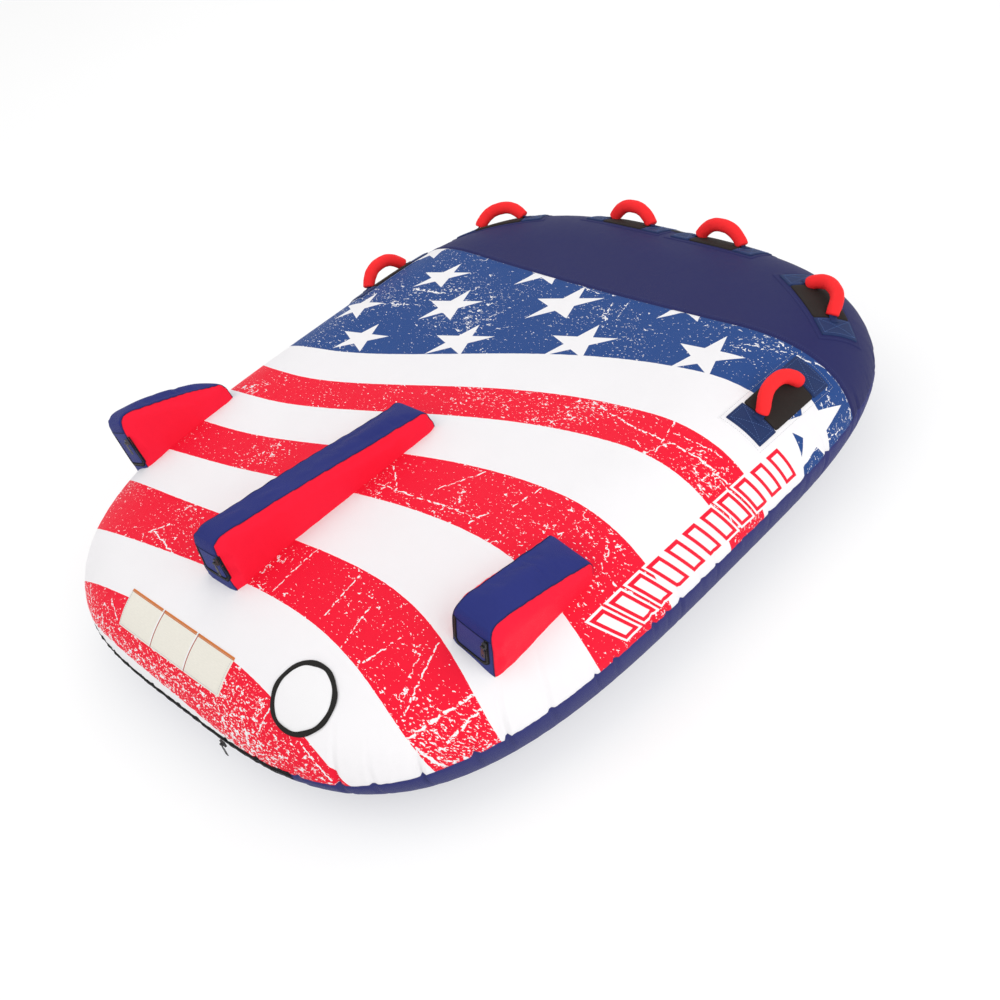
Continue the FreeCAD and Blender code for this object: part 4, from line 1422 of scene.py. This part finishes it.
def make_tow_strap(mats):
    start = np.interp(1 - TOW_STRAP_START / FRONT_REACH, 1 - TOP.scale, TOP.arc)
    last = np.interp(SEAM_Z - 0.003, BOTTOM.height, BOTTOM.arc)
    signed = np.concatenate([np.linspace(start, 0.002, 60), np.linspace(-0.002, -last, 60)])
    x = np.concatenate([[-1, -1], np.linspace(-0.97, 0.97, 15), [1, 1]]) * TOW_STRAP_HALF
    lift = np.concatenate([[0.0, 0.0014], np.full(15, 0.0028), [0.0014, 0.0]])
    rows = []
    for arc in signed:
        wall, side = (TOP, 1) if arc > 0 else (BOTTOM, -1)
        scale, height, out, up = wall.at(abs(arc))
        share = 1 - (np.abs(x) / (HALF_WIDTH * scale)) ** FRONT_FULLNESS
        y = STATION_Y + FRONT_REACH * scale * share ** (1 / FRONT_FULLNESS)
        rise = lift * min(1.0, 0.3 + (start - arc) / 0.004, 0.3 + (arc + last) / 0.004)
        rows.append(np.stack([x, y + out * rise, SEAM_Z + side * height + side * up * rise], 1))
    strap = Bag()
    strap.add(np.concatenate(rows), grid_faces(len(rows), len(x), flip=True))
    pivot_y, pivot_z = TOW_PIVOT
    behind = np.linspace(0.024, 0.003, 6)
    bend = polar(TOW_LOOP, np.linspace(math.pi / 2, -math.pi / 2, 19))
    loop = [(0, pivot_y - d, pivot_z + TOW_LOOP) for d in behind]
    loop += [(0, pivot_y + y, pivot_z + z) for y, z in bend]
    loop += [(0, pivot_y - d, pivot_z - TOW_LOOP) for d in behind[::-1]]
    path = resample(loop, 0.0015)
    normals = np.cross((1.0, 0, 0), headings(path))
    strap.tube(path, TOW_STRAP_HALF, 28, (normals, 0.066))
    piece = strap.make("tow_strap", "deck", mats["tow_webbing"], "tow_webbing")
    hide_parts("tow_webbing")
    seams = Bag()
    lines = [np.array([row[column] for row in rows[4:40]]) for column in (4, 14)]
    for line in lines + [row[4:15] for row in (rows[6], rows[38])]:
        stitches(seams, line, np.tile((0, 0.5, 0.85), (len(line), 1)), 0.0036)
    seams.make("tow_strap_stitches", "deck", mats["pale_thread"], "tow_webbing")


# ---- finishes ----
def plain_cloth(name, colour, **settings):
    return Shader(name).cloth(colour, **settings)


def ribbed(name, colour, pitch=0.0021):
    """Webbing: fine ribs and a slight fuzz."""
    s = Shader(name)
    x, y, z = s.parts(s.here)
    ribs = s.ripple(s.plus(s.plus(x, y), z), pitch)
    cross = s.ripple(s.minus(x, y), pitch * 0.7)
    weave = s.times(ribs, cross)
    fuzz = s.linear(s.noise(s.here, 700.0, 3.0), 0.30, 0.85)
    tint = s.shaded(colour, s.times(s.linear(weave, 0.16, 0.92), fuzz))
    return s.close(tint, 0.6, s.bump(weave, 0.0003), 0.25)


def foam(name, colour):
    s = Shader(name)
    grain = s.noise(s.here, 420.0, 3.0, 0.6)
    soft = s.noise(s.here, 28.0, 2.0)
    shade = s.times(s.linear(grain, 0.5, 0.72), s.linear(soft, 0.3, 0.85))
    normal = s.bump(grain, 0.0004, 1.0, s.bump(soft, 0.0012))
    return s.close(s.shaded(colour, shade), 0.8, normal, 0.2)


def moulded(name, colour, rough, grain=320.0):
    """Plastic or painted metal."""
    s = Shader(name)
    fine = s.noise(s.here, grain, 2.0)
    wide = s.noise(s.here, 18.0, 2.0)
    tint = s.shaded(colour, s.linear(wide, 0.14, 0.92))
    return s.close(tint, s.linear(fine, 0.16, rough - 0.08), s.bump(fine, 0.00006), 0.5)


def thread(name, colour):
    s = Shader(name)
    twist = s.noise(s.here, 1400.0, 2.0)
    return s.close(s.shaded(colour, s.linear(twist, 0.4, 0.78)), 0.7, None, 0.2)


def label_material():
    """Blank cream cloth in three panels under a plain orange strip."""
    s = Shader("label_cloth")
    spot = s.on_cloth()
    u, v, _ = s.parts(spot)
    strip = s.over(v, 0.0335)
    rows = s.linear(s.noise(s.stretch(spot, (0.25, 1.0, 1.0)), 420.0, 1.0), 0.10, 0.93)
    colour = s.mix(strip, s.shaded((0.80, 0.77, 0.69), rows), (0.62, 0.19, 0.045))
    for middle in (-0.0585, 0.0635):
        line = s.under(s.size(s.minus(u, middle)), 0.0013)
        gap = s.under(s.size(s.minus(u, middle - 0.004)), 0.0022)
        colour = s.mix(line, s.mix(gap, colour, (0.83, 0.82, 0.80)), (0.36, 0.045, 0.035))
    return s.cloth(colour, spot, pitch=0.0009, vary=0.02, roughness=0.5, soft=0.0008)


MATERIALS = {
    "print": print_material(),
    "nose": plain_cloth("nose_cloth", NOSE_NAVY, vary=0.05, roughness=0.55),
    "under": plain_cloth("underside_cloth", (0.036, 0.040, 0.155), vary=0.08, roughness=0.5),
    "pad_red": plain_cloth("divider_red_cloth", (0.90, 0.012, 0.040), vary=0.03, roughness=0.6),
    # The gusset's strong patchy tone (vary 0.15) is partly the cloth's own and partly painted shade
    # and reflection, standing in for the satin nylon's uneven sheen.
    "pad_navy": plain_cloth("divider_navy_cloth", PAD_NAVY, vary=0.15, roughness=0.55),
    "pad_end": plain_cloth("divider_end_cloth", (0.036, 0.046, 0.20), vary=0.06, roughness=0.55),
    "grip": plain_cloth("grip_cloth", (0.93, 0.026, 0.030), vary=0.05, roughness=0.6,
                        pitch=0.0016, deep=0.00015),
    "foam": foam("knuckle_foam", (0.022, 0.017, 0.015)),
    "webbing": ribbed("navy_webbing", TAB_NAVY),
    "tow_webbing": ribbed("tow_webbing", (0.020, 0.022, 0.030)),
    "blue_thread": thread("blue_thread", (0.11, 0.19, 0.44)),
    # Grey rather than white: on the white printed patches this thread colour is painted shade,
    # standing in for the shadow along white-on-white stitch lines.
    "pale_thread": thread("pale_thread", (0.50, 0.50, 0.53)),
    "navy_thread": thread("navy_thread", (0.05, 0.065, 0.20)),
    "piping": thread("piping", (0.012, 0.015, 0.065)),
    "tape": plain_cloth("zipper_tape", (0.012, 0.012, 0.013), vary=0.06, roughness=0.75),
    "coil": moulded("zipper_coil", (0.016, 0.016, 0.018), 0.38),
    "metal": moulded("zipper_metal", (0.022, 0.022, 0.024), 0.42),
    "flap": plain_cloth("flap_cloth", (0.84, 0.83, 0.84), vary=0.02, roughness=0.55, soft=0.0010),
    "binding": plain_cloth("binding_cloth", (0.020, 0.019, 0.018), vary=0.08, roughness=0.7,
                           pitch=0.0014),
    "label": label_material(),
    "valve": moulded("valve_plastic", (0.055, 0.055, 0.058), 0.42),
    "cap": moulded("valve_cap_plastic", (0.030, 0.030, 0.032), 0.36),
    "tow_plastic": moulded("tow_plastic", (0.020, 0.020, 0.022), 0.45, grain=700.0),
}


def dress_cad_nodes():
    """Finishes for the hard parts that keep their CAD shape."""
    finishes = {
        "cover_zipper_slider": "metal", "cover_zipper_pull": "metal", "valve_body": "valve",
        "valve_cap": "cap", "tow_connector": "tow_plastic",
    }
    for name in DIVIDERS:
        finishes[f"divider_slider_{name}"] = finishes[f"divider_pull_{name}"] = "metal"
    for node, finish in finishes.items():
        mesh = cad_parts[node].data
        mesh.materials.clear()
        mesh.materials.append(MATERIALS[finish])


make_deck(MATERIALS)
make_nose_stitches(MATERIALS)
make_handles(MATERIALS)
for divider, measures in DIVIDERS.items():
    make_divider(divider, measures, MATERIALS)
make_rear_zipper(MATERIALS)
make_flap(MATERIALS)
make_label(MATERIALS)
make_tow_strap(MATERIALS)
dress_cad_nodes()


# ---- camera, light and floor ----
FLOOR_HALF = 14.0
FLOOR_Z = -0.0005
FLOOR_TONE = 0.42
FLOOR_GLOW = 0.57
WORLD_LIGHT = 0.84
WORLD_SEEN = 0.09
AIM = Vector((0, 0, 0.15))


def make_stage():
    mesh = bpy.data.meshes.new("floor")
    corners = [(*c, FLOOR_Z) for c in rectangle(FLOOR_HALF, FLOOR_HALF)]
    mesh.from_pydata(corners, [], [(0, 1, 2, 3)])
    s = Shader("floor")
    tone = s.linear(s.noise(s.here, 3.0, 2.0), 0.01, FLOOR_TONE)
    s.put(s.bsdf.inputs["Emission Color"], (1.0, 1.0, 1.0))
    s.put(s.bsdf.inputs["Emission Strength"], FLOOR_GLOW)
    mesh.materials.append(s.close(s.grey(tone), 0.9))
    floor = bpy.data.objects.new("floor", mesh)
    scene.collection.objects.link(floor)
    world = bpy.data.worlds.new("studio")
    scene.world = world
    world.use_nodes = True
    sky = Nodes(world.node_tree)
    background = sky.tree.nodes["Background"].inputs
    seen = sky.add("ShaderNodeLightPath").outputs["Is Camera Ray"]
    sky.put(background["Color"], (1, 1, 1))
    sky.put(background["Strength"], sky.linear(seen, WORLD_SEEN, WORLD_LIGHT))
    for name, place, size, power in (
        ("key", (-1.2, -2.6, 4.2), 3.6, 46),
        ("side", (3.8, -0.2, 2.2), 3.0, 60),
        ("back", (-2.6, 3.2, 3.2), 3.0, 24),
    ):
        light = bpy.data.lights.new(name, "AREA")
        light.energy, light.size = power, size
        obj = bpy.data.objects.new(name, light)
        obj.location = place
        obj.rotation_euler = (AIM - Vector(place)).to_track_quat("-Z", "Y").to_euler()
        scene.collection.objects.link(obj)
    scene.view_settings.view_transform = "Standard"


CAMERA_ANGLES = (55.624, 37.724, -17.878)
CAMERA_PLACE = (1.98142, -1.34165, 1.83571)


def make_camera():
    """Three-quarter view from behind and to the right, a little rolled."""
    azimuth, elevation, roll = (math.radians(a) for a in CAMERA_ANGLES)
    level = math.cos(elevation)
    back = Vector((math.sin(azimuth) * level, -math.cos(azimuth) * level, math.sin(elevation)))
    right = (-back).cross(Vector((0, 0, 1))).normalized()
    up = right.cross(-back)
    turned = right * math.cos(roll) + up * math.sin(roll)
    above = up * math.cos(roll) - right * math.sin(roll)
    camera = bpy.data.objects.new("camera", bpy.data.cameras.new("camera"))
    rows = [*zip(turned, above, back, CAMERA_PLACE), (0, 0, 0, 1)]
    camera.matrix_world = Matrix(rows)
    camera.data.lens = 47.155
    camera.data.sensor_width = 36.0
    camera.data.clip_end = 100.0
    scene.collection.objects.link(camera)
    scene.camera = camera


make_stage()
make_camera()
